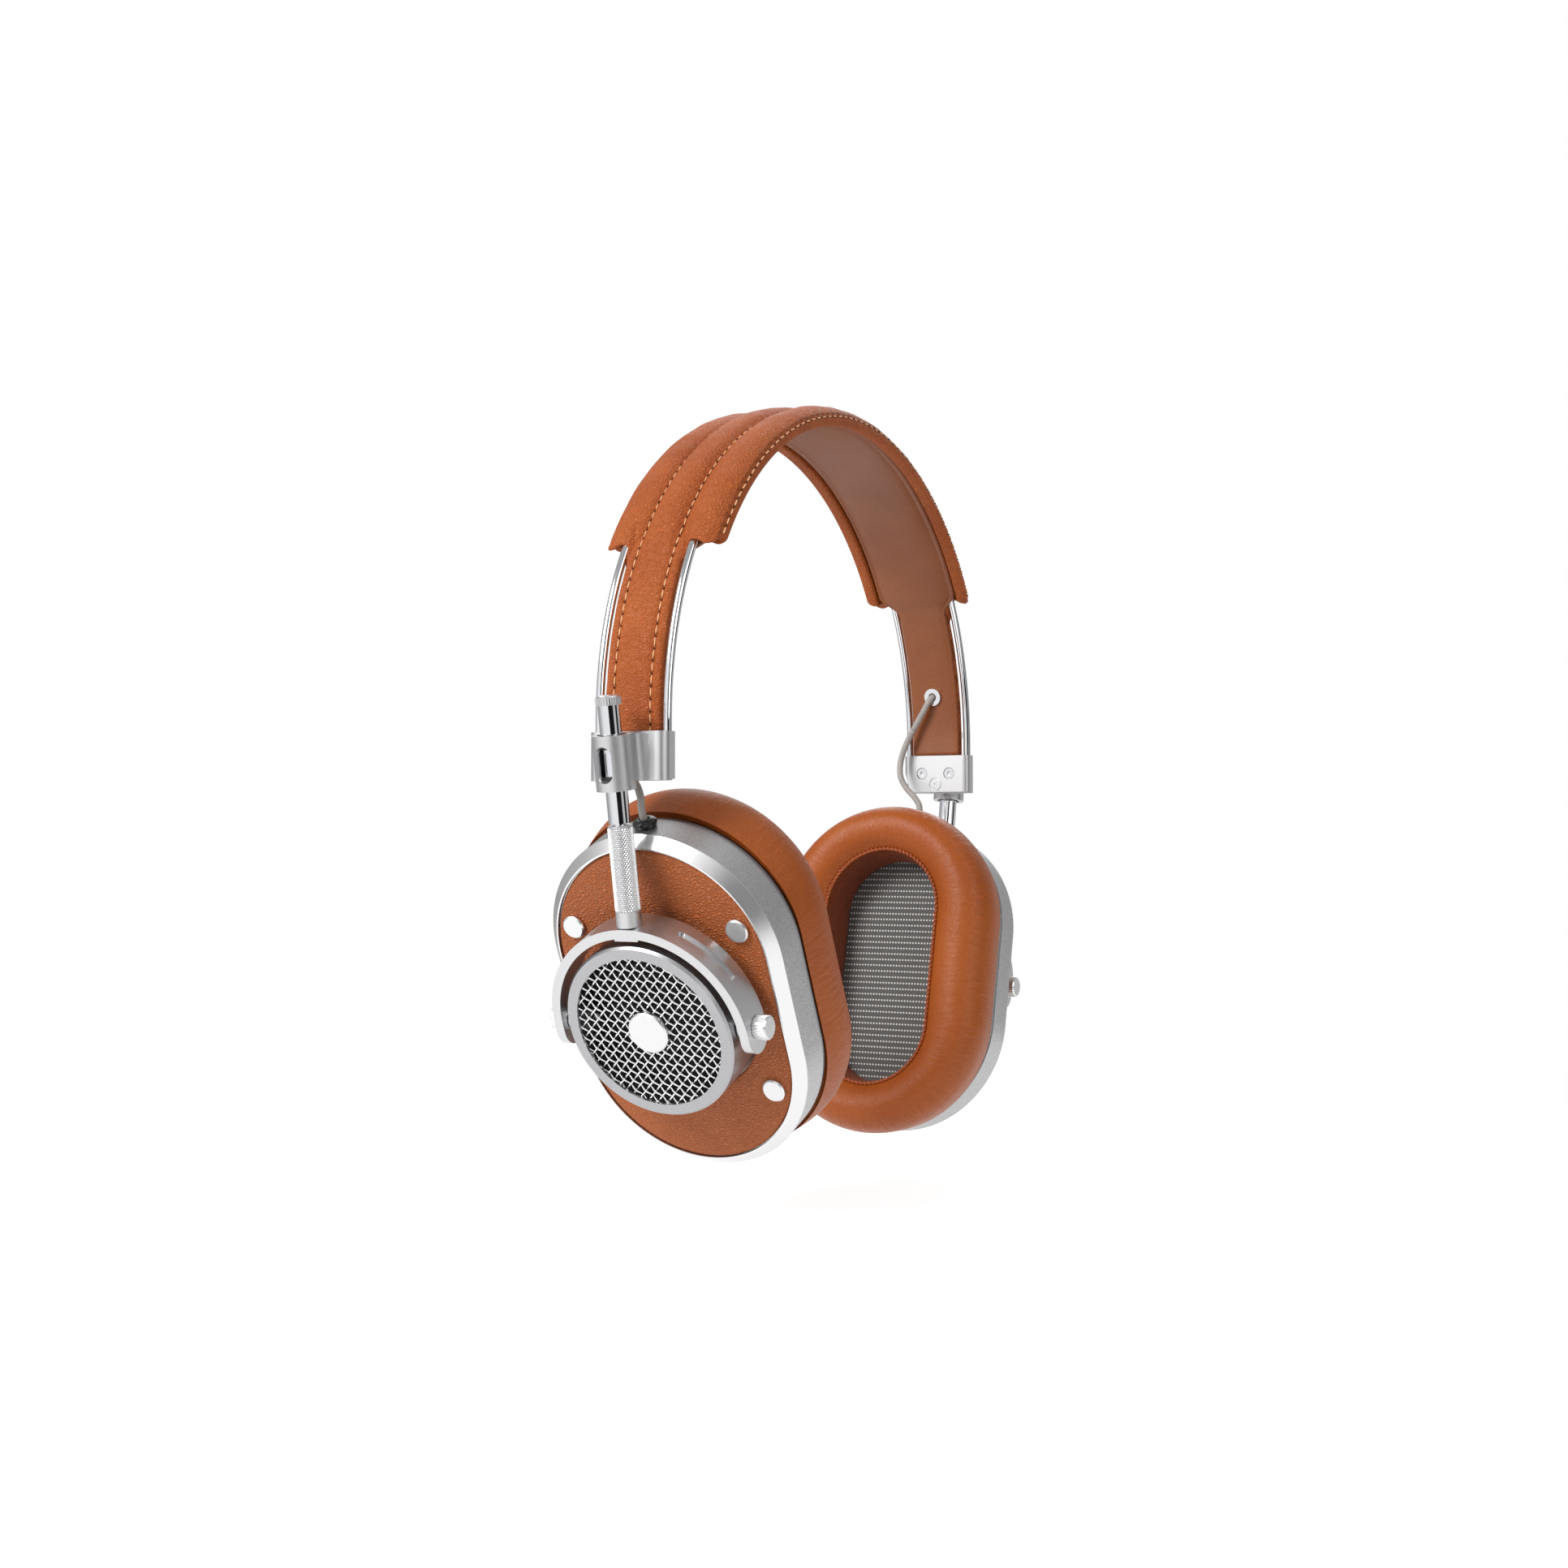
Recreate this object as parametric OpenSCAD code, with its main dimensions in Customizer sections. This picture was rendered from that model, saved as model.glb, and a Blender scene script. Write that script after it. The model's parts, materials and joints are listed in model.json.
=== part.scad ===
// Over-ear headphones: a padded leather band on two steel rods, and two tilting ear cups.
// Lengths are in millimetres. +X is the wearer's right, +Y the front and +Z up.
// The origin is the middle of the band's underside, where it rests on the head.

/* [Headband] */
// Radius of the arch, to the centre line of the rods
arch_r = 84.8; // [78:0.2:90]
// Height of the arch's centre above the bracket tops
arch_z = 2.8; // [1:0.1:5]
// Rod diameter
rod_d = 2.06; // [1.8:0.02:2.3]
// Distance between the two rods
rod_gap = 18.8; // [18:0.2:20]
// Angle above the horizontal where the wide padded stretch starts
wing_angle = 33; // [25:1:45]
// Half width of the padded stretch
wing_half = 16.2; // [14:0.2:18]
// Half width of the narrow strap between the rods
strap_half = 7.7; // [6.5:0.1:8]

/* [Brackets] */
// Height of a bracket
bracket_h = 11.4; // [10.5:0.1:13]
// Half width of a bracket, front to back
bracket_half = 10.7; // [10.6:0.1:12]
// Outside diameter of the barrel that holds the post
barrel_d = 9.2; // [9:0.1:10]

/* [Posts and yokes] */
// Distance of the post's axis from the middle, at the bracket tops
post_x = 94.2; // [94:0.1:95]
// Lean of the post away from the vertical
post_tilt = 10; // [9:0.5:11]
// Diameter of the bright post
post_d = 5.14; // [5:0.02:5.2]
// Diameter of the knurled stem below it
stem_d = 6; // [5.6:0.1:6.2]
// Outer radius of the yoke
yoke_r = 26.8; // [26.6:0.1:27.2]
// Thickness of the yoke's band
yoke_t = 2.3; // [2:0.1:2.5]

/* [Ear cups] */
// Distance of the centre of the cup's face from the middle
cup_x = 67; // [66:0.2:68]
// Height of the centre of the cup's face, below the bracket tops
cup_z = -65.5; // [-67:0.5:-65]
// Lean of the cup's face
cup_tilt = 24.5; // [23:0.5:26]
// Lean of the left cup's face, which hangs more upright in its yoke
left_tilt = 13; // [12:0.5:14]
// Outer radius of the cup's rounded ends
cup_r = 31.7; // [31.5:0.1:32.5]
// Half the distance between the centres of the two rounded ends
cup_half = 13; // [12:0.5:14]
// Depth of the metal housing
cup_depth = 11; // [10.8:0.1:12]
// Outer radius of the round grille housing
ring_r = 22.5; // [22.4:0.1:22.6]
// Height of the grille housing above the cup's face
ring_h = 12.4; // [12.2:0.1:13]
// Thickness of the ear pad
pad_t = 16; // [14:0.5:18]

/* [Hidden] */
$fn = 64;

// Band layers, as radii from the arch's centre
lining_in = 81.4;
lining_out = 83;
strap_in = 82.3;
strap_mid = 83.6;
strap_out = 86.2;
crown_z = arch_z + lining_in;
rod_r = rod_d / 2;
rod_y = rod_gap / 2;
rod_end_z = -9;
band_cable_r = 0.8;
band_cable_at = 84.9;
eyelet_z = 17.7;
eyelet_angle = asin((eyelet_z - arch_z) / strap_in);
tongue_z = -4;

// Bracket faces and fasteners
bracket_in = 82.3;
bracket_out = 88.3;
fillet_r = 3;
fillet_y = 7.36;
screw_y = 4.45;
screw_z = -5.4;
mark_z = -8.7;
bush_r = 3.3;
post_r = post_d / 2;
run_gap = 0.05;
barrel_top = -1;
barrel_end = -13.8;
bush_l = 2.8;
window_w = 4.1;
window_l = 8.4;
window_mid = -7.6;

// Stations along the post's axis, from the bracket tops
cap_top = 8;
cap_base = 5.9;
post_end = -21.5;
stem_top = -22.1;
stem_end = -42.3;
stud_end = -46.9;
spindle_r = 1.5;
spindle_end = -33;

// Yoke and pivots, as heights above the cup's face
pivot_h = 7;
yoke_rear = 3;
yoke_front = 11.8;
yoke_mid = (yoke_front + yoke_rear) / 2;
leg_l = 6.2;
pin_r = 1.4;
knob_r = 2.9;
knob_l = 3.3;

// Cup layers, as heights above the cup's face
chamfer = 2.5;
inlay_r = 28.7;
plate_floor = -1.3;
cavity_top = -3.3;
wall = 2;
vent_r = 19.5;
baffle_back = -cup_depth - 1.6;
cloth_back = baffle_back - 0.5;
pad_plate_top = baffle_back - 0.2;
pad_top = pad_plate_top - 1.2;
pad_base = pad_top - pad_t;
pad_r = 33;
pad_hole_r = 17;
pad_hole_half = 16;
rivet_x = 22.8;
rivet_y = 21.2;
grommet_h = -6.6;
jack_h = -7;
jack_bore_r = 1.8;
jack_bore_l = 14;
button_h = -7;
button_y = -8;
button_r = 2.2;

// Routes of the cables between the band and the cups, on the right and on the left
right_route = [[82.6, 0, 18], [81.4, 0, 17.8], [80.2, -0.1, 17.5], [79.4, -1.1, 15.8],
    [79.4, -2.8, 12.9], [79.6, -5.2, 8.8], [79.7, -7.6, 4], [79.7, -8.7, -0.8],
    [79.6, -8, -5], [79.6, -5.4, -8.8], [80.1, -2.2, -12.2], [80.9, -0.5, -15.2],
    [81.3, 0, -18], [80.2, 0, -20.4]];
left_route = [[82.6, 0, 18], [81.4, 0, 17.8], [80.2, -0.1, 17.5], [79.4, -1.1, 15.8],
    [79.4, -2.8, 12.9], [79.5, -5.6, 8.4], [79.3, -8.4, 3.2], [78.6, -9.8, -1.8],
    [77.2, -9.2, -6.2], [75.2, -6.4, -9.8], [73.1, -2.9, -12.4], [71.74, -0.5, -15],
    [71.19, 0, -17.4], [70.59, 0, -20]];

// ---- frames ----

// Puts a shape drawn from the bracket tops into the model's frame
module from_crown() {
    translate([0, 0, -crown_z]) children();
}

// The wearer's right is drawn, and the left is its mirror image
module on_side(right) {
    $upright = right ? 0 : cup_tilt - left_tilt;
    if (right) from_crown() children();
    else mirror([1, 0, 0]) from_crown() children();
}

// Z runs up the post's axis, from the level of the bracket tops
module on_post() {
    translate([post_x, 0, 0]) rotate([0, post_tilt, 0]) children();
}

// Z is the yoke's outward normal, Y runs up its face and X to the front
module on_yoke() {
    translate([cup_x, 0, cup_z]) rotate([0, 90 + cup_tilt, 0]) rotate([0, 0, 90]) children();
}

// The same frame, turned about the yoke's pivots to the lean of the cup on this side
module on_cup() {
    on_yoke() translate([0, 0, pivot_h]) rotate([-$upright, 0, 0])
        translate([0, 0, -pivot_h]) children();
}

// Turns a radial section into a stretch of the arch
module arch(from, to) {
    translate([0, 0, arch_z]) rotate([90, 0, 0]) rotate([0, 0, from])
        rotate_extrude(angle = to - from, $fn = 180) children();
}

// Runs a radial section straight down from the arch on both sides
module both_legs(bottom) {
    for (s = [0, 1]) mirror([s, 0, 0]) translate([0, 0, bottom])
        linear_extrude(arch_z - bottom) children();
}

// ---- shared shapes ----

module stadium(r, half) {
    for (s = [-1, 1]) translate([0, s * half]) circle(r);
    translate([-r, -half]) square([2 * r, 2 * half]);
}

module slab(r, half, low, high) {
    translate([0, 0, low]) linear_extrude(high - low) stadium(r, half);
}

module round_slab(r, low, high) {
    translate([0, 0, low]) cylinder(r = r, h = high - low);
}

module along_x(r, from, to) {
    translate([from, 0, 0]) rotate([0, 90, 0]) cylinder(r = r, h = to - from);
}

// A strip with round edges, as a radial section
module strip(inner, outer, half) {
    edge = (outer - inner) / 2;
    translate([inner, -half + edge]) square([outer - inner, 2 * (half - edge)]);
    for (s = [-1, 1]) translate([inner + edge, s * (half - edge)]) circle(edge);
}

module ribbed(r, ribs) {
    circle(r - 0.15);
    for (i = [0 : ribs - 1]) rotate(360 * i / ribs) translate([r - 0.2, 0]) circle(0.2, $fn = 16);
}

module at_rivets() {
    for (sx = [-1, 1], sy = [-1, 1]) translate([sx * rivet_x, sy * rivet_y, 0]) children();
}

// ---- headband ----

module band_rod(y) {
    color("silver") from_crown() {
        arch(0, 180) translate([arch_r, y]) circle(rod_r);
        for (s = [-1, 1]) translate([s * arch_r, -y, rod_end_z])
            cylinder(r = rod_r, h = arch_z - rod_end_z);
    }
}

module wing_section() {
    difference() {
        union() {
            strip(lining_out, 85.4, wing_half);
            translate([80.5, 0]) circle(6.5);
            for (s = [-1, 1]) translate([79.9, s * 10.4]) circle(6.2);
        }
        translate([0, -40]) square([lining_out, 80]);
        for (s = [-1, 1]) translate([arch_r, s * rod_y]) circle(rod_r + 0.1);
    }
}

module band_cover() {
    color("sienna") from_crown() difference() {
        union() {
            arch(wing_angle, 180 - wing_angle) wing_section();
            arch(0, 180) strip(strap_mid, strap_out, strap_half);
            both_legs(0) strip(strap_mid, strap_out, strap_half);
            for (s = [0, 1]) mirror([s, 0, 0]) translate([84.2, -6.4, tongue_z])
                cube([1.5, 12.8, 1 - tongue_z]);
        }
        arch(eyelet_angle - 1, 181 - eyelet_angle)
            translate([band_cable_at, 0]) circle(band_cable_r + 0.1);
        at_eyelets() along_x(1, strap_mid - 1, band_cable_at);
    }
}

module band_lining() {
    color("saddlebrown") from_crown() difference() {
        union() {
            arch(wing_angle, 180 - wing_angle) strip(lining_in, lining_out, 12.4);
            for (from = [0, 180 - wing_angle])
                arch(from, from + wing_angle) strip(strap_in, strap_mid, 7.4);
            both_legs(0.05) strip(strap_in, strap_mid, 7.4);
        }
        at_eyelets() along_x(1.9, strap_in - 1, strap_mid + 1);
    }
}

module band_cable() {
    color("dimgray") from_crown()
        arch(eyelet_angle, 180 - eyelet_angle) translate([band_cable_at, 0]) circle(band_cable_r);
}

module at_eyelets() {
    for (s = [0, 1]) mirror([s, 0, 0]) translate([0, 0, arch_z]) rotate([0, -eyelet_angle, 0])
        children();
}

module eyelets() {
    color("silver") from_crown() at_eyelets() difference() {
        union() {
            along_x(2.6, strap_in - 0.76, strap_in - 0.06);
            along_x(1.85, strap_in - 0.1, strap_mid - 0.06);
        }
        along_x(1.25, strap_in - 1, strap_mid + 1);
    }
}

// ---- brackets ----

// A plate in plan, square at the seam between the two halves and round at its free corners
module bracket_plan(seam, face, corner) {
    low = min(seam, face);
    depth = abs(face - seam);
    inset = face > seam ? 0 : corner;
    translate([low + inset, -bracket_half]) square([depth - corner, 2 * bracket_half]);
    intersection() {
        translate([low, -bracket_half]) square([depth, 2 * bracket_half]);
        union() {
            translate([low, -bracket_half + corner]) square([depth, 2 * (bracket_half - corner)]);
            for (s = [-1, 1])
                translate([face - sign(face - seam) * corner, s * (bracket_half - corner)])
                    circle(corner);
        }
    }
}

// The waist that joins the barrel to its plate, hollowed by a fillet on each side
module waist_plan() {
    difference() {
        polygon([[-8, -fillet_y], [-1.15, -4.4], [-1.15, 4.4], [-8, fillet_y]]);
        for (s = [-1, 1]) translate([-1.9, s * fillet_y]) circle(fillet_r);
    }
}

module rod_channels() {
    for (s = [-1, 1]) translate([arch_r, s * rod_y, rod_end_z]) cylinder(r = rod_r, h = 12);
}

module tongue_pocket() {
    translate([84.1, -6.6, tongue_z - 0.1]) cube([1.7, 13.2, 5]);
}

module bracket_outer(right) {
    color("silver") on_side(right) difference() {
        union() {
            translate([0, 0, -bracket_h]) linear_extrude(bracket_h)
                bracket_plan(arch_r, bracket_out, 2.6);
            on_post() round_slab(barrel_d / 2, barrel_end, barrel_top);
            intersection() {
                on_post() translate([0, 0, -16]) linear_extrude(20) waist_plan();
                translate([arch_r, -10, -bracket_h]) cube([12, 20, bracket_h - 0.6]);
            }
        }
        on_post() round_slab(bush_r, barrel_end - 1, 2);
        on_post() translate([0, 0, window_mid]) rotate([0, 90, 0]) linear_extrude(9)
            rotate(90) stadium(window_w / 2, (window_l - window_w) / 2);
        rod_channels();
        tongue_pocket();
        for (s = [-1, 1]) translate([0, s * screw_y, screw_z]) along_x(0.85, 84, 87.7);
    }
}

module bracket_inner(right) {
    color("silver") on_side(right) difference() {
        translate([0, 0, -bracket_h + 0.4]) linear_extrude(bracket_h - 0.4)
            bracket_plan(arch_r, bracket_in, 1.8);
        translate([arch_r - 5, 0, 0]) rotate([90, 0, 90]) linear_extrude(8)
            polygon([[-12, -1], [-12, -12], [-7.9, -12], [-bracket_half, -4]]);
        rod_channels();
        tongue_pocket();
        for (s = [-1, 1]) translate([0, s * screw_y, screw_z]) {
            along_x(1.75, bracket_in - 1, bracket_in + 1.25);
            along_x(0.85, bracket_in, arch_r + 1);
        }
        // A side mark: one dot in a ring on the left, two on the right
        translate([0, 0, mark_z]) {
            difference() {
                along_x(2, bracket_in - 1, bracket_in + 0.2);
                along_x(1.75, bracket_in - 1, bracket_in + 0.3);
            }
            for (y = right ? [-0.7, 0.7] : [0]) translate([0, y, 0])
                along_x(0.35, bracket_in - 1, bracket_in + 0.2);
        }
    }
}

module bracket_screws() {
    color("gainsboro") for (right = [true, false], s = [-1, 1])
        on_side(right) translate([0, s * screw_y, screw_z]) difference() {
            union() {
                along_x(1.6, bracket_in + 0.15, bracket_in + 1.25);
                along_x(0.8, bracket_in + 1.2, 87.5);
            }
            translate([bracket_in - 1, 0, 0]) rotate([0, 90, 0])
                cylinder(r = 0.75, h = 1.8, $fn = 6);
        }
}

module post_bushes() {
    color("black") for (right = [true, false], low = [barrel_end + 0.5, barrel_top - 0.4 - bush_l])
        on_side(right) on_post() difference() {
            round_slab(bush_r, low, low + bush_l);
            round_slab(post_r + run_gap, low - 1, low + bush_l + 1);
        }
}

// ---- posts and yokes ----

module post(right) {
    color("gainsboro") on_side(right) on_post() {
        round_slab(post_r, post_end, cap_base);
        round_slab(spindle_r, spindle_end, post_end);
    }
}

module post_cap(right) {
    color("silver") on_side(right) on_post() {
        translate([0, 0, cap_base]) linear_extrude(cap_top - cap_base - 0.3) ribbed(3, 30);
        translate([0, 0, cap_top - 0.3]) cylinder(r1 = 2.8, r2 = 2.5, h = 0.3);
    }
}

module stem(right) {
    color("silver") on_side(right) on_post() {
        difference() {
            union() {
                round_slab(stem_d / 2, stem_end, stem_top - 0.3);
                translate([0, 0, stem_top - 0.3])
                    cylinder(r1 = stem_d / 2, r2 = stem_d / 2 - 0.3, h = 0.3);
            }
            round_slab(spindle_r + run_gap, spindle_end - 1, stem_top + 1);
        }
        round_slab(1.5, stud_end, stem_end);
    }
}

module yoke(right) {
    color("silver") on_side(right) difference() {
        union() {
            on_yoke() {
                translate([0, 0, yoke_rear]) rotate_extrude(angle = 180, $fn = 128)
                    translate([yoke_r - yoke_t, 0]) square([yoke_t, yoke_front - yoke_rear]);
                for (s = [0, 1]) mirror([s, 0, 0]) yoke_leg();
                translate([-3.2, yoke_r - yoke_t - 0.7, yoke_rear + 1])
                    cube([6.4, 1.6, yoke_front - yoke_rear - 1]);
            }
            on_post() round_slab(stem_d / 2, stem_end - 3.6, stem_end);
        }
        on_post() round_slab(1.55, stud_end - 4, stem_end + 1);
        on_yoke() {
            for (s = [-1, 1]) translate([s * 23, 0, pivot_h]) along_x(pin_r + 0.1, -5, 5);
            for (s = [0, 1]) mirror([s, 0, 0]) yoke_groove(30, 62);
        }
    }
}

// The straight end of the yoke below its pivot, rounded to the band's full width
module yoke_leg() {
    half = (yoke_front - yoke_rear) / 2;
    translate([yoke_r - yoke_t, 0, yoke_mid]) {
        translate([0, -leg_l + half, -half]) cube([yoke_t, leg_l - half, 2 * half]);
        translate([0, -leg_l + half, 0]) along_x(half, 0, yoke_t);
    }
}

// A shallow groove with round ends, along the outside of the band
module yoke_groove(from, to) {
    floor_r = yoke_r - 0.7;
    half = 1.05;
    translate([0, 0, yoke_mid - half]) rotate([0, 0, from])
        rotate_extrude(angle = to - from, $fn = 128) translate([floor_r, 0]) square([3, 2 * half]);
    for (a = [from, to]) rotate([0, 0, a]) translate([0, 0, yoke_mid])
        along_x(half + 0.05, floor_r, floor_r + 3);
}

module pivot_screws(right) {
    color("silver") on_side(right) on_yoke() for (s = [0, 1]) mirror([s, 0, 0])
        translate([0, 0, pivot_h]) {
            along_x(pin_r, 18.6, yoke_r + 0.2);
            translate([yoke_r + 0.1, 0, 0]) rotate([0, 90, 0])
                linear_extrude(knob_l - 0.3) ribbed(knob_r, 26);
            translate([yoke_r + knob_l - 0.2, 0, 0]) rotate([0, 90, 0])
                cylinder(r1 = knob_r - 0.2, r2 = knob_r - 0.5, h = 0.3);
        }
}

module pivot_washers(right) {
    color("silver") on_side(right) on_yoke() for (s = [0, 1]) mirror([s, 0, 0])
        translate([0, 0, pivot_h]) difference() {
            along_x(2.8, ring_r + 0.3, yoke_r - yoke_t - 0.2);
            along_x(pin_r + 0.05, ring_r - 1, yoke_r);
        }
}

// ---- ear cups ----

module cup_housing(right) {
    color("silver") on_side(right) on_cup() difference() {
        union() {
            slab(cup_r, cup_half, -cup_depth, -chamfer);
            for (s = [-1, 1]) translate([0, s * cup_half, -chamfer])
                cylinder(r1 = cup_r, r2 = cup_r - chamfer, h = chamfer);
            translate([0, cup_half, 0]) rotate([90, 0, 0]) linear_extrude(2 * cup_half)
                polygon([[-cup_r, -chamfer], [cup_r, -chamfer],
                    [cup_r - chamfer, 0], [chamfer - cup_r, 0]]);
        }
        slab(inlay_r + 0.1, cup_half, plate_floor, 1);
        slab(cup_r - wall, cup_half, -cup_depth - 1, cavity_top);
        round_slab(vent_r, cavity_top - 1, 1);
        at_rivets() round_slab(1.45, cavity_top - 1, 1);
        translate([0, 0, grommet_h]) rotate([-90, 0, 0]) cylinder(r = 1.9, h = cup_r + cup_half + 1);
        translate([0, 0, jack_h]) rotate([90, 0, 0]) cylinder(r = 3.25, h = cup_r + cup_half + 1);
        if (right) translate([0, button_y, button_h])
            along_x(button_r + run_gap, -cup_r - 1, -cup_r + wall + 1);
    }
}

module inlay(right) {
    color("sienna") on_side(right) on_cup() difference() {
        slab(inlay_r, cup_half, plate_floor, -0.3);
        round_slab(ring_r + 0.1, -3, 1);
        at_rivets() round_slab(1.45, -3, 1);
    }
}

module rivets(right) {
    color("gainsboro") on_side(right) on_cup() at_rivets() {
        round_slab(1.4, cavity_top - 0.8, -0.3);
        translate([0, 0, -0.3]) cylinder(r = 2.95, h = 0.7);
        translate([0, 0, 0.4]) cylinder(r1 = 2.95, r2 = 2.6, h = 0.3);
        round_slab(2.2, cavity_top - 0.8, cavity_top);
    }
}

module ring_housing(right) {
    color("silver") on_side(right) on_cup() difference() {
        union() {
            rotate_extrude($fn = 128) polygon([[20.6, plate_floor], [ring_r, plate_floor],
                [ring_r, ring_h - 0.7], [ring_r - 0.5, ring_h], [19.4, ring_h],
                [19.4, 11.7], [20.6, 11.7]]);
            for (s = [0, 1]) mirror([s, 0, 0]) translate([0, 0, pivot_h])
                along_x(3, 18, ring_r - 0.8);
        }
        for (s = [0, 1]) mirror([s, 0, 0]) translate([0, 0, pivot_h])
            along_x(pin_r + run_gap, 16, ring_r + 2);
    }
}

module grille(right) {
    color("gainsboro") on_side(right) on_cup() round_slab(20.5, 10.6, 11.7);
}

module badge(right) {
    color("gainsboro") on_side(right) on_cup() {
        round_slab(5.3, 11.7, 12.4);
        translate([0, 0, 12.4]) cylinder(r1 = 5.3, r2 = 5, h = 0.3);
    }
}

module damper(right) {
    color("black") on_side(right) on_cup() round_slab(20.5, 2.6, 3.4);
}

module baffle(right) {
    color("black") on_side(right) on_cup() difference() {
        slab(cup_r - 0.3, cup_half, baffle_back, -cup_depth);
        round_slab(20.1, -cup_depth - 3, -cup_depth + 1);
    }
}

module driver(right) {
    color("dimgray") on_side(right) on_cup() rotate_extrude()
        polygon([[0, 0.5], [11, 0.5], [12, -0.5], [12, -5], [18, -8.5], [21.8, -9.6],
            [21.8, -cup_depth], [20, -cup_depth], [20, baffle_back], [18.6, baffle_back],
            [18.6, -cup_depth], [15, -9.6], [8, -8], [0, -8]]);
}

module diaphragm(right) {
    color("lightgray") on_side(right) on_cup() rotate_extrude()
        polygon([[0, -9.9], [5, -10.4], [7.5, -11.9], [13, -11.6], [18.5, -12.1], [18.5, -12.3],
            [13, -11.8], [7.5, -12.1], [5, -10.6], [0, -10.1]]);
}

module speaker_cloth(right) {
    color("gray") on_side(right) on_cup() slab(19.6, pad_hole_half, cloth_back, baffle_back);
}

module grommet(right) {
    color("black") on_side(right) on_cup() translate([0, cup_r + cup_half, grommet_h])
        rotate([-90, 0, 0]) difference() {
            union() {
                round_slab(1.85, -3, 0.1);
                round_slab(2.6, 0.02, 2.2);
                translate([0, 0, 2.2]) cylinder(r1 = 2.6, r2 = 2, h = 0.6);
            }
            round_slab(0.95, -4, 4);
        }
}

module jack_socket(right) {
    color("dimgray") on_side(right) on_cup() translate([0, -cup_r - cup_half, jack_h])
        rotate([-90, 0, 0]) difference() {
            round_slab(3.2, 0.1, jack_bore_l + 1.6);
            round_slab(jack_bore_r, -1, jack_bore_l + 0.1);
        }
}

// ---- ear pads ----

module pad_plate(right) {
    color("black") on_side(right) on_cup() difference() {
        slab(cup_r - 1, cup_half, pad_top, pad_plate_top);
        slab(20.2, pad_hole_half, pad_top - 1, 0);
    }
}

// Half of the pad's outer outline, rounded most on the side that meets the head
module pad_section() {
    translate([0, pad_base]) square([pad_r - 7, pad_t]);
    translate([0, pad_base + 7]) square([pad_r, pad_t - 10]);
    translate([0, pad_top - 4]) square([pad_r - 3, 4]);
    translate([pad_r - 7, pad_base + 7]) circle(7);
    translate([pad_r - 3, pad_top - 3]) circle(3);
}

module ear_pad(right) {
    color("sienna") on_side(right) on_cup() difference() {
        union() {
            for (s = [0, 1]) mirror([0, s, 0]) translate([0, cup_half, 0])
                rotate_extrude(angle = 180, $fn = 128) pad_section();
            translate([0, cup_half, 0]) rotate([90, 0, 0]) linear_extrude(2 * cup_half)
                for (s = [0, 1]) mirror([s, 0, 0]) pad_section();
        }
        slab(pad_hole_r, pad_hole_half, pad_base - 1, 0);
    }
}

// ---- mute button ----

module mute_button() {
    color("silver") on_side(true) on_cup() translate([0, button_y, button_h]) {
        along_x(button_r, -cup_r - 0.9, -cup_r + wall + 0.8);
        along_x(button_r + 0.6, -cup_r + wall + 0.2, -cup_r + wall + 0.8);
    }
}

module mute_switch() {
    color("black") on_side(true) on_cup()
        translate([-cup_r + wall + 1.6, button_y - 2.5, button_h - 2.5]) cube([3, 5, 5]);
}

// ---- link cables ----

// A smooth curve through the route's points, by the Catmull-Rom rule
function blend(a, b, c, d, t) =
    0.5 * (2 * b + (c - a) * t + (2 * a - 5 * b + 4 * c - d) * t * t
    + (3 * b - a - 3 * c + d) * t * t * t);
function smooth(route, steps) = [for (i = [0 : len(route) - 2], k = [0 : steps - 1])
    blend(route[max(i - 1, 0)], route[i], route[i + 1], route[min(i + 2, len(route) - 1)],
        k / steps), route[len(route) - 1]];
function unit(v) = v / norm(v);
function heading(line, i) = unit(line[min(i + 1, len(line) - 1)] - line[max(i - 1, 0)]);
function ring_at(line, i, r, sides) = let (
        t = heading(line, i),
        u = unit(cross([0.6, 0, -0.8], t)),
        v = cross(t, u)
    ) [for (k = [0 : sides - 1]) line[i]
        + r * (cos(360 * k / sides) * u + sin(360 * k / sides) * v)];

module tube(route, d, sides) {
    line = smooth(route, 2);
    rings = len(line);
    points = [for (i = [0 : rings - 1]) each ring_at(line, i, d / 2, sides)];
    skin = [for (i = [0 : rings - 2], k = [0 : sides - 1])
        let (a = i * sides + k, b = i * sides + (k + 1) % sides)
        each [[a, a + sides, b], [a + sides, b + sides, b]]];
    first_end = [for (k = [0 : sides - 1]) k];
    last_end = [for (k = [sides - 1 : -1 : 0]) (rings - 1) * sides + k];
    polyhedron(points, concat(skin, [first_end, last_end]));
}

module link_cable(right) {
    color("lightgray") on_side(right) tube(right ? right_route : left_route, 1.8, 8);
}

band_rod(-rod_y);  // band_rod_front
band_rod(rod_y);  // band_rod_rear
band_cover();
band_lining();
band_cable();
eyelets();
bracket_screws();
post_bushes();
mute_button();
mute_switch();
bracket_outer(true);  // bracket_outer_right
bracket_inner(true);  // bracket_inner_right
post(true);  // post_right
post_cap(true);  // post_cap_right
stem(true);  // stem_right
yoke(true);  // yoke_right
pivot_screws(true);  // pivot_screws_right
pivot_washers(true);  // pivot_washers_right
cup_housing(true);  // cup_housing_right
inlay(true);  // inlay_right
rivets(true);  // rivets_right
ring_housing(true);  // ring_housing_right
grille(true);  // grille_right
badge(true);  // badge_right
damper(true);  // damper_right
baffle(true);  // baffle_right
driver(true);  // driver_right
diaphragm(true);  // diaphragm_right
speaker_cloth(true);  // speaker_cloth_right
grommet(true);  // grommet_right
jack_socket(true);  // jack_socket_right
pad_plate(true);  // pad_plate_right
ear_pad(true);  // ear_pad_right
link_cable(true);  // link_cable_right
bracket_outer(false);  // bracket_outer_left
bracket_inner(false);  // bracket_inner_left
post(false);  // post_left
post_cap(false);  // post_cap_left
stem(false);  // stem_left
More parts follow.
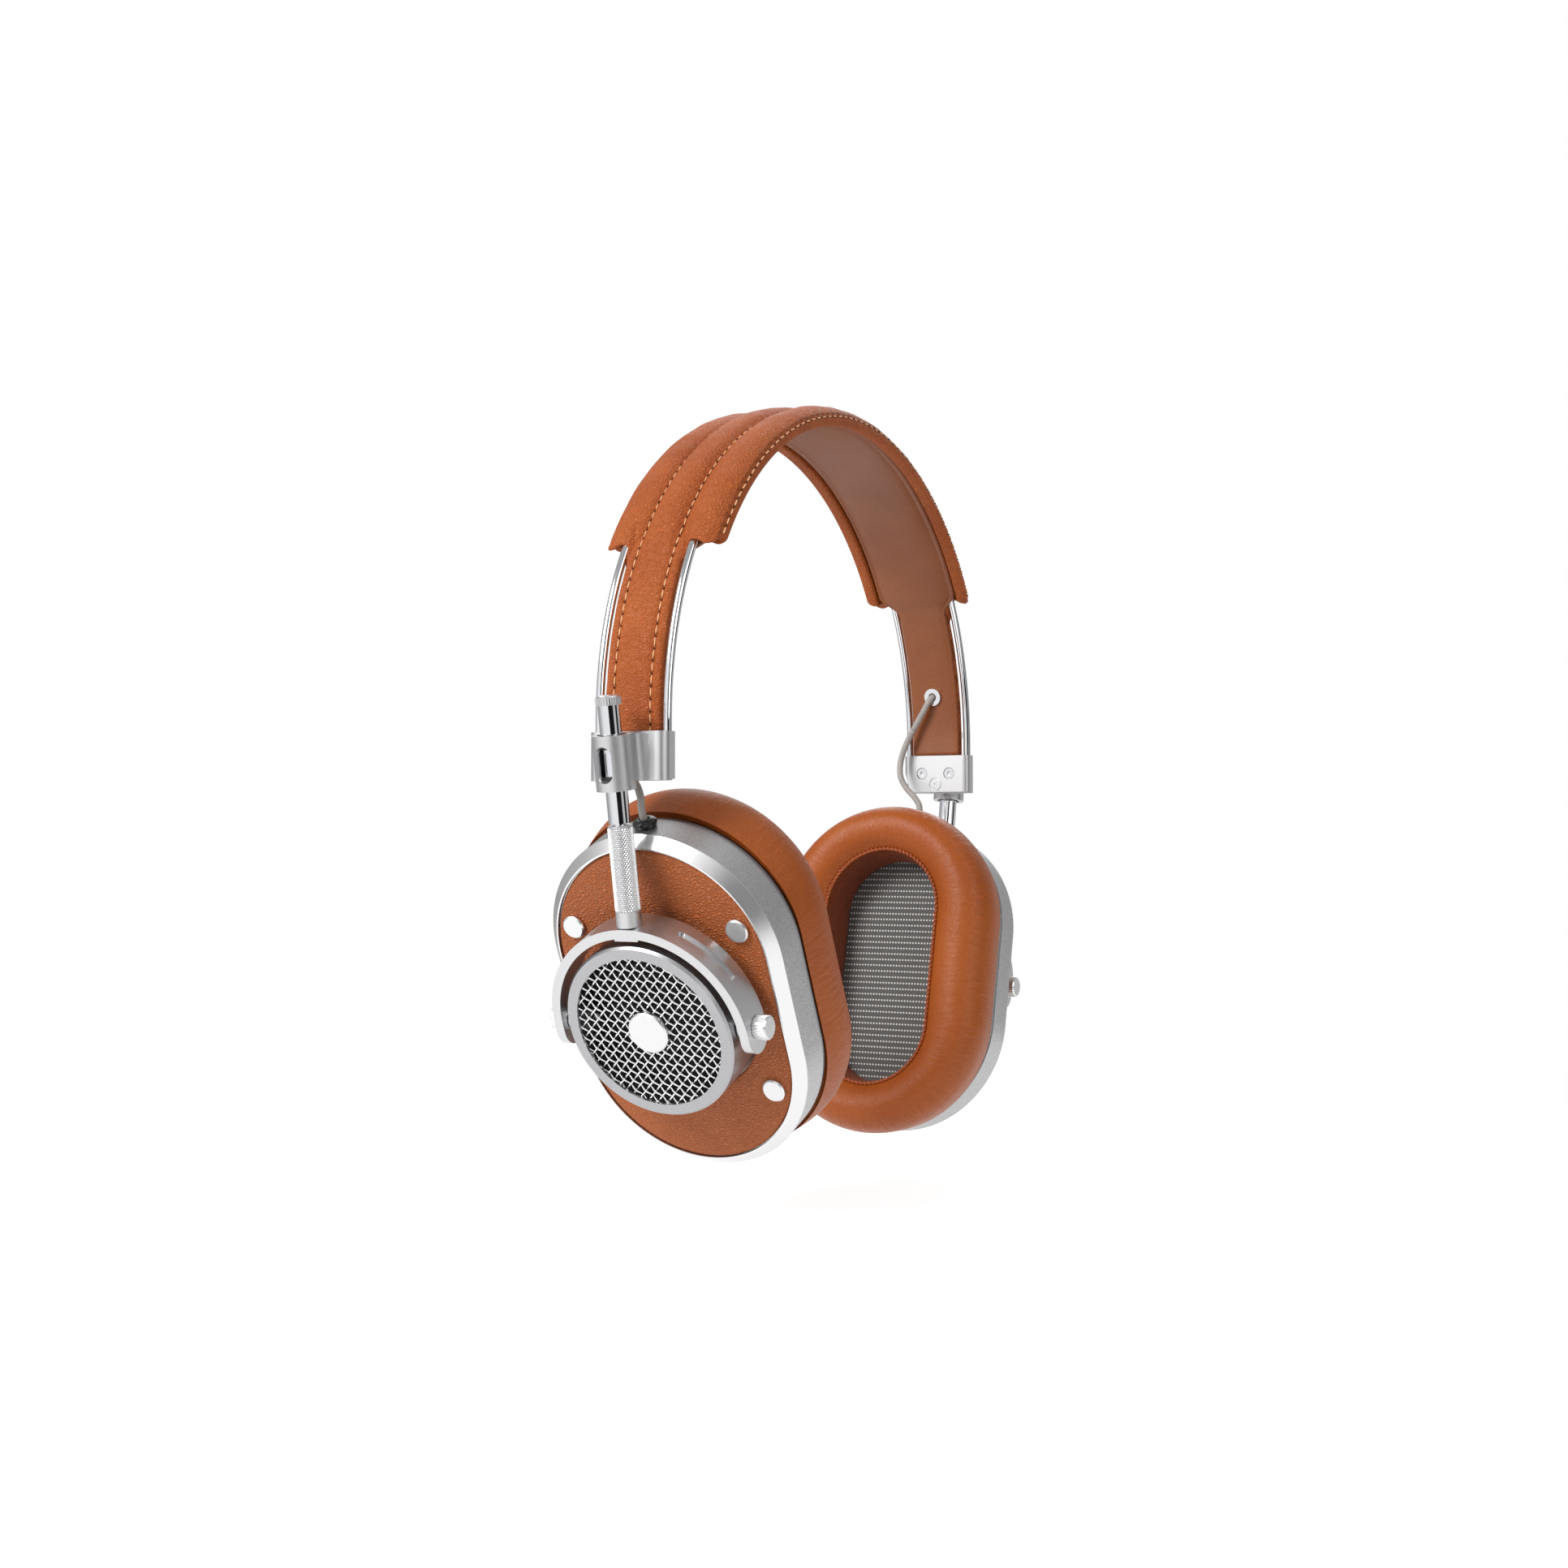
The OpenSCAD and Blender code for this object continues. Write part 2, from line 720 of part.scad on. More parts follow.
yoke(false);  // yoke_left
pivot_screws(false);  // pivot_screws_left
pivot_washers(false);  // pivot_washers_left
cup_housing(false);  // cup_housing_left
inlay(false);  // inlay_left
rivets(false);  // rivets_left
ring_housing(false);  // ring_housing_left
grille(false);  // grille_left
badge(false);  // badge_left
damper(false);  // damper_left
baffle(false);  // baffle_left
driver(false);  // driver_left
diaphragm(false);  // diaphragm_left
speaker_cloth(false);  // speaker_cloth_left
grommet(false);  // grommet_left
jack_socket(false);  // jack_socket_left
pad_plate(false);  // pad_plate_left
ear_pad(false);  // ear_pad_left
link_cable(false);  // link_cable_left
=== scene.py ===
import json
import math

import bmesh
import bpy
from mathutils import Matrix, Vector, noise


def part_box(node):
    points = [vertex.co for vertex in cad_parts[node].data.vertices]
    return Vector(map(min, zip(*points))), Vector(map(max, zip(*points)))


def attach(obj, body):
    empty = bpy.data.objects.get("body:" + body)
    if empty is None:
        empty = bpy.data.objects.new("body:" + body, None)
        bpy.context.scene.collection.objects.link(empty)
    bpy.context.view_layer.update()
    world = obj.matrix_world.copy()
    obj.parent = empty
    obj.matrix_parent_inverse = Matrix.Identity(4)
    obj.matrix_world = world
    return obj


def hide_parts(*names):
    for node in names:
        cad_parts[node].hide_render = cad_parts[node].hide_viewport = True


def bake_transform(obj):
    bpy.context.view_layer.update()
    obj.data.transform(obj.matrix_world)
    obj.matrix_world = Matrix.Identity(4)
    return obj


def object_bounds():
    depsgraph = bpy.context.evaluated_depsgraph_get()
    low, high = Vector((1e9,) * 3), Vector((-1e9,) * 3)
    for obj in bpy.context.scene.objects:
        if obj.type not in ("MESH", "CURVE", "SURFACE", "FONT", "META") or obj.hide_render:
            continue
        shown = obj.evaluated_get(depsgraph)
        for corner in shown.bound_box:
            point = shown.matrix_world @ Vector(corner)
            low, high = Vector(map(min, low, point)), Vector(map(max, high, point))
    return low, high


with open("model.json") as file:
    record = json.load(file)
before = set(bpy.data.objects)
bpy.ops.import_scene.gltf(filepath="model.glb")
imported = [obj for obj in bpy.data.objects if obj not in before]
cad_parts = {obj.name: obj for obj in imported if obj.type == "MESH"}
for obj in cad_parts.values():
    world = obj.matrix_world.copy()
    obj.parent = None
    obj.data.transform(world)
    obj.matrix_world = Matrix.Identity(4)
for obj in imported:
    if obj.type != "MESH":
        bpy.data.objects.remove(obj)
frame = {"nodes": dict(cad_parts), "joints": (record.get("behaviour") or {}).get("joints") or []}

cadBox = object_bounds()
nodes = frame["nodes"]
joints = {joint["name"]: joint for joint in frame["joints"]}
sides = ("right", "left")
scene = bpy.context.scene
mm = 0.001              # sizes in the dictionaries are millimetres
crownToBrackets = 84.2  # the band's underside stands this far above the bracket tops
print("frame loaded:", len(nodes), "CAD nodes")


# camera

camera = {
    "place": (0.4935, 0.2667, -0.1081),     # metres
    "aim": (0.0123, 0, -0.0948),
    "lens": 47.94,
    "sensor": 36,
}


def makeCamera():
    data = bpy.data.cameras.new("camera")
    data.lens = camera["lens"]
    data.sensor_width = camera["sensor"]
    data.clip_start = 0.01
    data.clip_end = 50
    eye = bpy.data.objects.new("camera", data)
    eye.location = camera["place"]
    look = Vector(camera["aim"]) - Vector(camera["place"])
    eye.rotation_euler = look.to_track_quat("-Z", "Y").to_euler()
    scene.collection.objects.link(eye)
    scene.camera = eye


makeCamera()
print("camera set")


# helpers for node trees

def addNode(tree, kind, inputs=None, **settings):     # an input is a value, a node or a socket
    node = tree.nodes.new(kind)
    for name, value in settings.items():
        setattr(node, name, value)
    for socket, given in (inputs or {}).items():
        if isinstance(given, (bpy.types.Node, bpy.types.NodeSocket)):
            output = given.outputs[0] if isinstance(given, bpy.types.Node) else given
            tree.links.new(output, node.inputs[socket])
        else:
            node.inputs[socket].default_value = given
    return node


def colour(code):       # sRGB hex to the linear colour that a socket holds
    parts = [int(code[i:i + 2], 16) / 255 for i in (1, 3, 5)]
    linear = [c / 12.92 if c <= 0.04045 else ((c + 0.055) / 1.055) ** 2.4 for c in parts]
    return (*linear, 1)


shaderSockets = {"base": "Base Color", "rough": "Roughness", "normal": "Normal"}


def newMaterial(name, base, fixed):
    material = bpy.data.materials.new(name)
    material.use_nodes = True
    shader = material.node_tree.nodes["Principled BSDF"]
    shader.inputs["Base Color"].default_value = colour(base)
    for socket, value in fixed.items():
        shader.inputs[socket].default_value = value
    return material, material.node_tree, shader


def plug(tree, shader, **ends):     # joins each named end of the tree to the shader
    for socket, output in ends.items():
        tree.links.new(output, shader.inputs[shaderSockets[socket]])


def ease(low, high, value):     # 0 below low, 1 above high, smooth between them
    t = min(max((value - low) / (high - low), 0), 1)
    return t * t * (3 - 2 * t)


# materials

def leather(name, look):
    # Rounded cells of grain with narrow creases between them, on the "lay" attribute, which is
    # each point's place in the flat hide. Creases are duller than the grain's tops, and painted shade
    # darkens them.
    material, tree, shader = newMaterial(name, look["top"], {
        "IOR": 1.48, "Specular IOR Level": look["gloss"]})
    lay = addNode(tree, "ShaderNodeAttribute", attribute_name="lay").outputs["Vector"]
    wander = addNode(tree, "ShaderNodeTexNoise", {"Scale": 0.4 / (look["grain"] * mm), "Detail": 2,
                      "Vector": lay})
    bent = addNode(tree, "ShaderNodeVectorMath", {3: look["grain"] * mm * 1.4,
                    0: wander.outputs["Color"]}, operation="SCALE")
    moved = addNode(tree, "ShaderNodeVectorMath", {0: lay, 1: bent}, operation="ADD")
    stretched = addNode(tree, "ShaderNodeMapping", {"Scale": look["stretch"], "Vector": moved})
    cells = addNode(tree, "ShaderNodeTexVoronoi", {"Scale": 1 / (look["grain"] * mm),
                     "Vector": stretched}, feature="DISTANCE_TO_EDGE")
    dome = addNode(tree, "ShaderNodeMapRange", {"From Min": 0, "From Max": 0.42,
                    "Value": cells.outputs["Distance"]}, interpolation_type="SMOOTHSTEP")
    fine = addNode(tree, "ShaderNodeTexNoise", {"Scale": 2.2 / (look["grain"] * mm), "Detail": 3,
                    "Vector": stretched})
    folds = addNode(tree, "ShaderNodeMapping", {"Scale": look["folds"], "Vector": moved})
    wrinkle = addNode(tree, "ShaderNodeTexNoise", {"Scale": 1, "Detail": 4, "Roughness": 0.6,
                       "Vector": folds})
    broad = addNode(tree, "ShaderNodeTexNoise", {"Scale": 60, "Detail": 3, "Vector": lay})
    uneven = addNode(tree, "ShaderNodeMapRange", {"From Min": 0.3, "From Max": 0.7, "Value": broad})
    worn = addNode(tree, "ShaderNodeMix", {6: colour(look["top"]), 7: colour(look["worn"]), 0: uneven},
                   data_type="RGBA")
    # painted shade: a darker colour is mixed into the creases between the grain's domes
    creaseShadeMask = addNode(tree, "ShaderNodeMapRange", {"From Max": 0.5, "To Min": look["creaseShadeLevel"], "To Max": 1,
                    "Value": dome})
    surfaceColour = addNode(tree, "ShaderNodeMix", {6: colour(look["creaseShade"]), 0: creaseShadeMask, 7: worn.outputs[2]},
                   data_type="RGBA")
    dull = addNode(tree, "ShaderNodeMapRange", {"To Min": look["dull"], "To Max": look["polish"],
                    "Value": dome})
    crumple = addNode(tree, "ShaderNodeBump", {"Strength": look["foldDepth"], "Distance": 0.4 * mm,
                       "Height": wrinkle})
    grained = addNode(tree, "ShaderNodeBump", {"Strength": 1, "Distance": look["depth"] * mm,
                       "Height": dome, "Normal": crumple})
    pores = addNode(tree, "ShaderNodeBump", {"Strength": 0.3, "Distance": 0.03 * mm, "Height": fine,
                     "Normal": grained})
    plug(tree, shader, base=surfaceColour.outputs[2], rough=dull.outputs[0], normal=pores.outputs[0])
    return material


def pebbledCowhide():
    # Tumbled cowhide, aniline dyed and waxed: small full pebbles that glint, cognac brown
    return leather("pebbledCowhide", {
        "top": "#A34E1B", "worn": "#B15B25", "creaseShade": "#6C300C", "creaseShadeLevel": 0.6,
        "grain": 0.7, "stretch": (1.35, 0.75, 1), "depth": 0.2, "polish": 0.36, "dull": 0.55,
        "gloss": 0.3, "folds": (420, 130, 200), "foldDepth": 0.5})


def inlayCowhide():
    # The same hide pulled flat over a plate: long low pebbles side by side, more matt
    return leather("inlayCowhide", {
        "top": "#A2521F", "worn": "#AE5D2A", "creaseShade": "#64300F", "creaseShadeLevel": 0.62,
        "grain": 0.85, "stretch": (0.75, 1.3, 1), "depth": 0.22, "polish": 0.4, "dull": 0.6,
        "gloss": 0.45, "folds": (200, 420, 200), "foldDepth": 0.4})


def smoothLining():
    # Skived calf on the inner side of the band: nearly smooth, with a faint hair grain
    return leather("smoothLining", {
        "top": "#7C3F15", "worn": "#88491C", "creaseShade": "#5F2E0E", "creaseShadeLevel": 0.8,
        "grain": 0.5, "stretch": (1, 1, 1), "depth": 0.02, "polish": 0.3, "dull": 0.4,
        "gloss": 0.55, "folds": (110, 200, 200), "foldDepth": 0.15})


def padLambskin():
    # Thin lambskin over foam: soft sheen and fine creases that run across the ring
    return leather("padLambskin", {
        "top": "#984810", "worn": "#A25218", "creaseShade": "#6E310A", "creaseShadeLevel": 0.75,
        "grain": 0.45, "stretch": (1, 1, 0.5), "depth": 0.03, "polish": 0.34, "dull": 0.45,
        "gloss": 0.35, "folds": (900, 900, 110), "foldDepth": 0.8})


def ribbedTextile():
    # Knitted brown lining of the pad's opening: ribs 0.9 mm apart with a soft edge, and painted shade
    # darkening the grooves between them
    material, tree, shader = newMaterial("ribbedTextile", "#8A4524", {
        "Roughness": 0.85, "Sheen Weight": 0.05, "Specular IOR Level": 0.2})
    lay = addNode(tree, "ShaderNodeAttribute", attribute_name="lay").outputs["Vector"]
    turned = addNode(tree, "ShaderNodeMapping", {"Rotation": (0.5, 0, 0), "Vector": lay})
    rib = addNode(tree, "ShaderNodeTexWave", {"Scale": 0.314 / (0.9 * mm), "Distortion": 1.2,
                   "Detail": 1, "Detail Scale": 3, "Vector": turned}, bands_direction="Z")
    # painted shade: the ribs' low grooves get the dark colour, their crests the lighter one
    tinted = addNode(tree, "ShaderNodeMix", {6: colour("#421A08"), 7: colour("#8F4118"),
                      0: rib.outputs["Fac"]}, data_type="RGBA")
    raised = addNode(tree, "ShaderNodeBump", {"Strength": 0.8, "Distance": 0.25 * mm,
                      "Height": rib.outputs["Fac"]})
    plug(tree, shader, base=tinted.outputs[2], normal=raised.outputs[0])
    return material


speakerWeave = {"dotPitch": 0.92, "rowPitch": 1.7, "dot": 0.21, "thread": 0.28}


def dottedCloth():
    # Woven acoustic cloth, dark grey, with a pale thread that shows as rows of dots
    material, tree, shader = newMaterial("dottedCloth", "#4C4B4A", {
        "Roughness": 0.8, "Sheen Weight": 0.15})
    look = speakerWeave
    lay = addNode(tree, "ShaderNodeAttribute", attribute_name="lay").outputs["Vector"]
    pitch = (look["dotPitch"] * mm, look["rowPitch"] * mm, 1)
    cell = addNode(tree, "ShaderNodeVectorMath", {1: pitch, 0: lay}, operation="DIVIDE")
    part = addNode(tree, "ShaderNodeVectorMath", {0: cell}, operation="FRACTION")
    centred = addNode(tree, "ShaderNodeVectorMath", {1: (0.5, 0.5, 0), 0: part}, operation="SUBTRACT")
    sized = addNode(tree, "ShaderNodeVectorMath", {1: (pitch[0], pitch[1], 0), 0: centred},
                    operation="MULTIPLY")
    reach = addNode(tree, "ShaderNodeVectorMath", {0: sized}, operation="LENGTH")
    dot = addNode(tree, "ShaderNodeMapRange", {"From Min": (look["dot"] + 0.09) * mm,
                   "From Max": look["dot"] * mm, "Value": reach.outputs["Value"]})
    knit = addNode(tree, "ShaderNodeTexWave", {"Scale": 0.314 / (look["thread"] * mm),
                    "Distortion": 1.5, "Detail": 1, "Vector": lay}, bands_direction="DIAGONAL")
    ground = addNode(tree, "ShaderNodeMix", {6: colour("#3A3938"), 7: colour("#5E5D5B"),
                      0: knit.outputs["Fac"]}, data_type="RGBA")
    surfaceColour = addNode(tree, "ShaderNodeMix", {7: colour("#C9C8C4"), 0: dot, 6: ground.outputs[2]},
                   data_type="RGBA")
    raised = addNode(tree, "ShaderNodeBump", {"Strength": 0.6, "Distance": 0.1 * mm, "Height": dot})
    plug(tree, shader, base=surfaceColour.outputs[2], normal=raised.outputs[0])
    return material


def metal(name, look):
    # Grains of the blasting, 0.2 mm where the real ones are 0.1, so that they show
    material, tree, shader = newMaterial(name, look["light"], {"Metallic": 1})
    place = addNode(tree, "ShaderNodeTexCoord").outputs["Object"]
    grit = addNode(tree, "ShaderNodeTexNoise", {"Scale": 1 / (look["grit"] * mm), "Detail": 2,
                    "Roughness": 0.7, "Vector": place})
    speckle = addNode(tree, "ShaderNodeMapRange", {"From Min": 0.35, "From Max": 0.65, "Value": grit})
    tinted = addNode(tree, "ShaderNodeMix", {6: colour(look["dark"]), 7: colour(look["light"]),
                      0: speckle}, data_type="RGBA")
    dull = addNode(tree, "ShaderNodeMapRange", {"To Min": look["rough"] + 0.06,
                    "To Max": look["rough"] - 0.04, "Value": speckle})
    raised = addNode(tree, "ShaderNodeBump", {"Strength": look["depth"], "Distance": 0.03 * mm,
                      "Height": grit})
    plug(tree, shader, base=tinted.outputs[2], rough=dull.outputs[0], normal=raised.outputs[0])
    return material, tree, shader, tinted, dull


def blastedAluminium(name, light, dark):
    # Bead-blasted and clear anodised: an even pale grey with a fine sparkle
    return metal(name, {
        "light": light, "dark": dark, "rough": 0.36, "grit": 0.16, "depth": 0.3})[0]


def cutAluminium(side):
    # The housing's side is blasted, and its chamfer was turned bright after that: everything
    # above the foot of the chamfer, measured along the cup's axis, is smoother and paler
    material, tree, shader, tinted, dull = metal("cutAluminium_" + side, {
        "light": "#D2D2D3", "dark": "#A2A2A4", "rough": 0.42, "grit": 0.2, "depth": 0.5})
    turn, face = cupFrame(side)
    out = turn.col[2].to_3d()
    foot = face.dot(out) - 2.55 * mm
    place = addNode(tree, "ShaderNodeTexCoord").outputs["Object"]
    along = addNode(tree, "ShaderNodeVectorMath", {1: out, 0: place}, operation="DOT_PRODUCT")
    above = addNode(tree, "ShaderNodeMapRange", {"From Min": foot - 0.1 * mm,
                     "From Max": foot + 0.1 * mm, "Value": along.outputs["Value"]})
    bright = addNode(tree, "ShaderNodeMix", {7: colour("#E4E4E5"), 0: above, 6: tinted.outputs[2]},
                     data_type="RGBA")
    smooth = addNode(tree, "ShaderNodeMix", {3: 0.3, 0: above, 2: dull}, data_type="FLOAT")
    plug(tree, shader, base=bright.outputs[2], rough=smooth.outputs[0])
    return material


def brightChrome():
    # Polished chrome plate: a near mirror, with the faintest haze from wiping
    material, tree, shader = newMaterial("brightChrome", "#E6E7EA", {"Metallic": 1})
    place = addNode(tree, "ShaderNodeTexCoord").outputs["Object"]
    haze = addNode(tree, "ShaderNodeTexNoise", {"Scale": 300, "Detail": 3, "Vector": place})
    dull = addNode(tree, "ShaderNodeMapRange", {"To Min": 0.03, "To Max": 0.11, "Value": haze})
    plug(tree, shader, rough=dull.outputs[0])
    return material


def satinSteel(name, base, rough):
    # Stainless steel with a fine turned finish
    material, tree, shader = newMaterial(name, base, {"Metallic": 1})
    place = addNode(tree, "ShaderNodeTexCoord").outputs["Object"]
    marks = addNode(tree, "ShaderNodeTexNoise", {"Scale": 900, "Detail": 3, "Vector": place})
    dull = addNode(tree, "ShaderNodeMapRange", {"To Min": rough - 0.06, "To Max": rough + 0.08,
                    "Value": marks})
    raised = addNode(tree, "ShaderNodeBump", {"Strength": 0.15, "Distance": 0.02 * mm, "Height": marks})
    plug(tree, shader, rough=dull.outputs[0], normal=raised.outputs[0])
    return material


def moulded(name, light, dark, rough, grain, depth, sheen=0):
    # Moulded plastic, rubber, cable jacket or pressed felt: a fine texture from the mould
    material, tree, shader = newMaterial(name, light, {"Sheen Weight": sheen})
    place = addNode(tree, "ShaderNodeTexCoord").outputs["Object"]
    texture = addNode(tree, "ShaderNodeTexNoise", {"Scale": 1 / (grain * mm), "Detail": 3,
                       "Vector": place})
    tinted = addNode(tree, "ShaderNodeMix", {6: colour(dark), 7: colour(light), 0: texture},
                     data_type="RGBA")
    dull = addNode(tree, "ShaderNodeMapRange", {"To Min": rough - 0.08, "To Max": rough + 0.08,
                    "Value": texture})
    raised = addNode(tree, "ShaderNodeBump", {"Strength": depth, "Distance": 0.05 * mm,
                      "Height": texture})
    plug(tree, shader, base=tinted.outputs[2], rough=dull.outputs[0], normal=raised.outputs[0])
    return material


def centreOf(node):
    low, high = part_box(node)
    return (low + high) / 2


def cupFrame(side):     # cup coordinates: x along the cup, y up its face, z out of its face
    damperHeight = 3 * mm
    out = (centreOf("badge_" + side) - centreOf("damper_" + side)).normalized()
    face = centreOf("damper_" + side) - out * damperHeight
    front = Vector((0, 1, 0)) * (1 if side == "right" else -1)
    up = out.cross(front)
    return Matrix((front, up, out)).transposed().to_4x4(), face


def cupMatrix(side):
    turn, face = cupFrame(side)
    return Matrix.Translation(face) @ turn


def postMatrix(side):   # z runs up the post, from the level of the bracket tops
    axis = Vector(joints["height_" + side]["axis"])
    if axis.z < 0:
        axis = -axis
    foot = Vector(joints["swivel_" + side]["pos_m"])
    across = Vector((0, 1, 0)).cross(axis)
    return Matrix.Translation(foot) @ Matrix((across, Vector((0, 1, 0)), axis)).transposed().to_4x4()


finish = {
    "cowhide": pebbledCowhide(),
    "inlay": inlayCowhide(),
    "lining": smoothLining(),
    "lambskin": padLambskin(),
    "textile": ribbedTextile(),
    "cloth": dottedCloth(),
    "blasted": blastedAluminium("blastedAluminium", "#D6D6D7", "#CACACB"),
    "blastedRing": blastedAluminium("blastedRing", "#B9B9BB", "#A6A6A8"),
    "cut_right": cutAluminium("right"),
    "cut_left": cutAluminium("left"),
    "chrome": brightChrome(),
    "turned": satinSteel("turnedSteel", "#E2E2E3", 0.3),
    "knurl": satinSteel("knurledSteel", "#D8D8D9", 0.36),
    "wire": satinSteel("wovenWire", "#E9E9EA", 0.2),
    "magnet": satinSteel("platedMagnet", "#8C8C8E", 0.4),
    "plastic": moulded("blackPlastic", "#1A1A1B", "#111112", 0.5, 0.5, 0.3),
    "felt": moulded("blackFelt", "#0C0C0C", "#050505", 0.9, 0.35, 0.8, 0.1),
    "rubber": moulded("blackRubber", "#121211", "#0A0A0A", 0.28, 0.6, 0.2),
    "jacket": moulded("greyJacket", "#A29C97", "#8B8681", 0.5, 1.2, 0.2),
    "film": moulded("driverFilm", "#8C8878", "#6F6B5E", 0.35, 1.5, 0.3),
    "thread": moulded("waxedThread", "#E6B98C", "#C58E60", 0.6, 0.3, 0.4, 0.1),
    "seamThread": moulded("seamThread", "#B2562A", "#74300F", 0.7, 0.3, 0.5, 0.1),
    # a dark bead in each needle hole: painted shade where the hole sinks into the leather
    "hole": moulded("needleHoleShade", "#3A1A0C", "#281006", 0.9, 0.4, 0.2),
}
print("materials made:", len(finish))


# helpers for meshes

def curveThrough(points, steps, closed=False):      # the Catmull-Rom rule, as in the CAD routes
    count = len(points)
    line = []
    for i in range(count if closed else count - 1):
        picks = [i + k for k in (-1, 0, 1, 2)]
        near = [points[k % count] if closed else points[min(max(k, 0), count - 1)] for k in picks]
        for step in range(steps):
            t = step / steps
            line.append([0.5 * (2 * b + (c - a) * t + (2 * a - 5 * b + 4 * c - d) * t * t
                                + (3 * b - a - 3 * c + d) * t ** 3) for a, b, c, d in zip(*near)])
    if not closed:
        line.append(list(points[-1]))
    return line


def linkPiece(name, mesh, material):
    data = bpy.data.meshes.new(name)
    mesh.to_mesh(data)
    mesh.free()
    data.shade_smooth()
    data.materials.append(material)
    piece = bpy.data.objects.new(name, data)
    scene.collection.objects.link(piece)
    return piece


def skin(name, rings, material, lays=None, loop=False):
    # Joins rings of points into a closed surface; lays gives each point's place in the flat hide
    mesh = bmesh.new()
    layer = mesh.verts.layers.float_vector.new("lay")
    grid = []
    for i, ring in enumerate(rings):
        row = [mesh.verts.new(point) for point in ring]
        if lays:
            for j, vert in enumerate(row):
                vert[layer] = lays[i][j]
        grid.append(row)
    around = len(rings[0])
    for i in range(len(grid) if loop else len(grid) - 1):
        low, high = grid[i], grid[(i + 1) % len(grid)]
        for j in range(around):
            k = (j + 1) % around
            mesh.faces.new((low[j], low[k], high[k], high[j]))
    if not loop:
        mesh.faces.new(grid[0])
        mesh.faces.new(grid[-1])
    bmesh.ops.recalc_face_normals(mesh, faces=mesh.faces)
    return linkPiece(name, mesh, material)


def joined(name, pieces):
    mesh = bmesh.new()
    for piece in pieces:
        mesh.from_mesh(piece.data)
    material = pieces[0].data.materials[0]
    for piece in pieces:
        bpy.data.objects.remove(piece)
    return linkPiece(name, mesh, material)


def tube(name, line, radius, material, steps=14):
    rings = []
    ahead = Vector((0.6, 0, -0.8))
    for i, point in enumerate(line):
        along = (Vector(line[min(i + 1, len(line) - 1)]) - Vector(line[max(i - 1, 0)])).normalized()
        across = ahead.cross(along).normalized()
        other = along.cross(across)
        rings.append([Vector(point) + radius * (math.cos(2 * math.pi * k / steps) * across
                      + math.sin(2 * math.pi * k / steps) * other) for k in range(steps)])
    return skin(name, rings, material)


def subdivide(piece, levels=1):
    smooth = piece.modifiers.new("smooth", "SUBSURF")
    smooth.levels = levels
    smooth.render_levels = levels


def settle(piece, body, node=None):       # what a piece rides on and which CAD node it stands for
    if node:
        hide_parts(node)
    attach(piece, body)


# link cables, first of the pieces, because their routes are fixed by the CAD

linkCable = {
    "diameter": 1.8,
    "right": [(82.6, 0, 18), (81.4, 0, 17.8), (80.2, -0.1, 17.5), (79.4, -1.1, 15.8),
              (79.4, -2.8, 12.9), (79.6, -5.2, 8.8), (79.7, -7.6, 4), (79.7, -8.7, -0.8),
              (79.6, -8, -5), (79.6, -5.4, -8.8), (80.1, -2.2, -12.2), (80.9, -0.5, -15.2),
              (81.3, 0, -18), (80.2, 0, -20.4)],
    "left": [(82.6, 0, 18), (81.4, 0, 17.8), (80.2, -0.1, 17.5), (79.4, -1.1, 15.8),
             (79.4, -2.8, 12.9), (79.5, -5.6, 8.4), (79.3, -8.4, 3.2), (78.6, -9.8, -1.8),
             (77.2, -9.2, -6.2), (75.2, -6.4, -9.8), (73.1, -2.9, -12.4), (71.74, -0.5, -15),
             (71.19, 0, -17.4), (70.59, 0, -20)],
    "stretches": (("upper", "headband", "post_", 16.5, 9), ("middle", "post_", "yoke_", 7, -7),
                  ("lower", "yoke_", "cup_", -9, -19)),
    "cuts": (30, 8, -8, -30),       # heights that part the three stretches
}


def linkCables():
    # Each stretch lies over one joint: the slide, then the swivel, then the tilt
    for side in sides:
        sign = 1 if side == "right" else -1
        route = curveThrough(linkCable[side], 8)
        line = [Vector((x * sign, y, z - crownToBrackets)) * mm for x, y, z in route]
        cuts = [next((i for i, p in enumerate(route) if p[2] < cut), len(route) - 1)
                for cut in linkCable["cuts"]]
        for k, (name, above, below, start, end) in enumerate(linkCable["stretches"]):
            part = line[cuts[k]:cuts[k + 1] + 1]
            piece = tube("link_cable_" + name + "_" + side, part, linkCable["diameter"] / 2 * mm,
                         finish["jacket"])
            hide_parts("link_cable_" + side)
            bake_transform(piece)


linkCables()
print("link cables made")


# headband

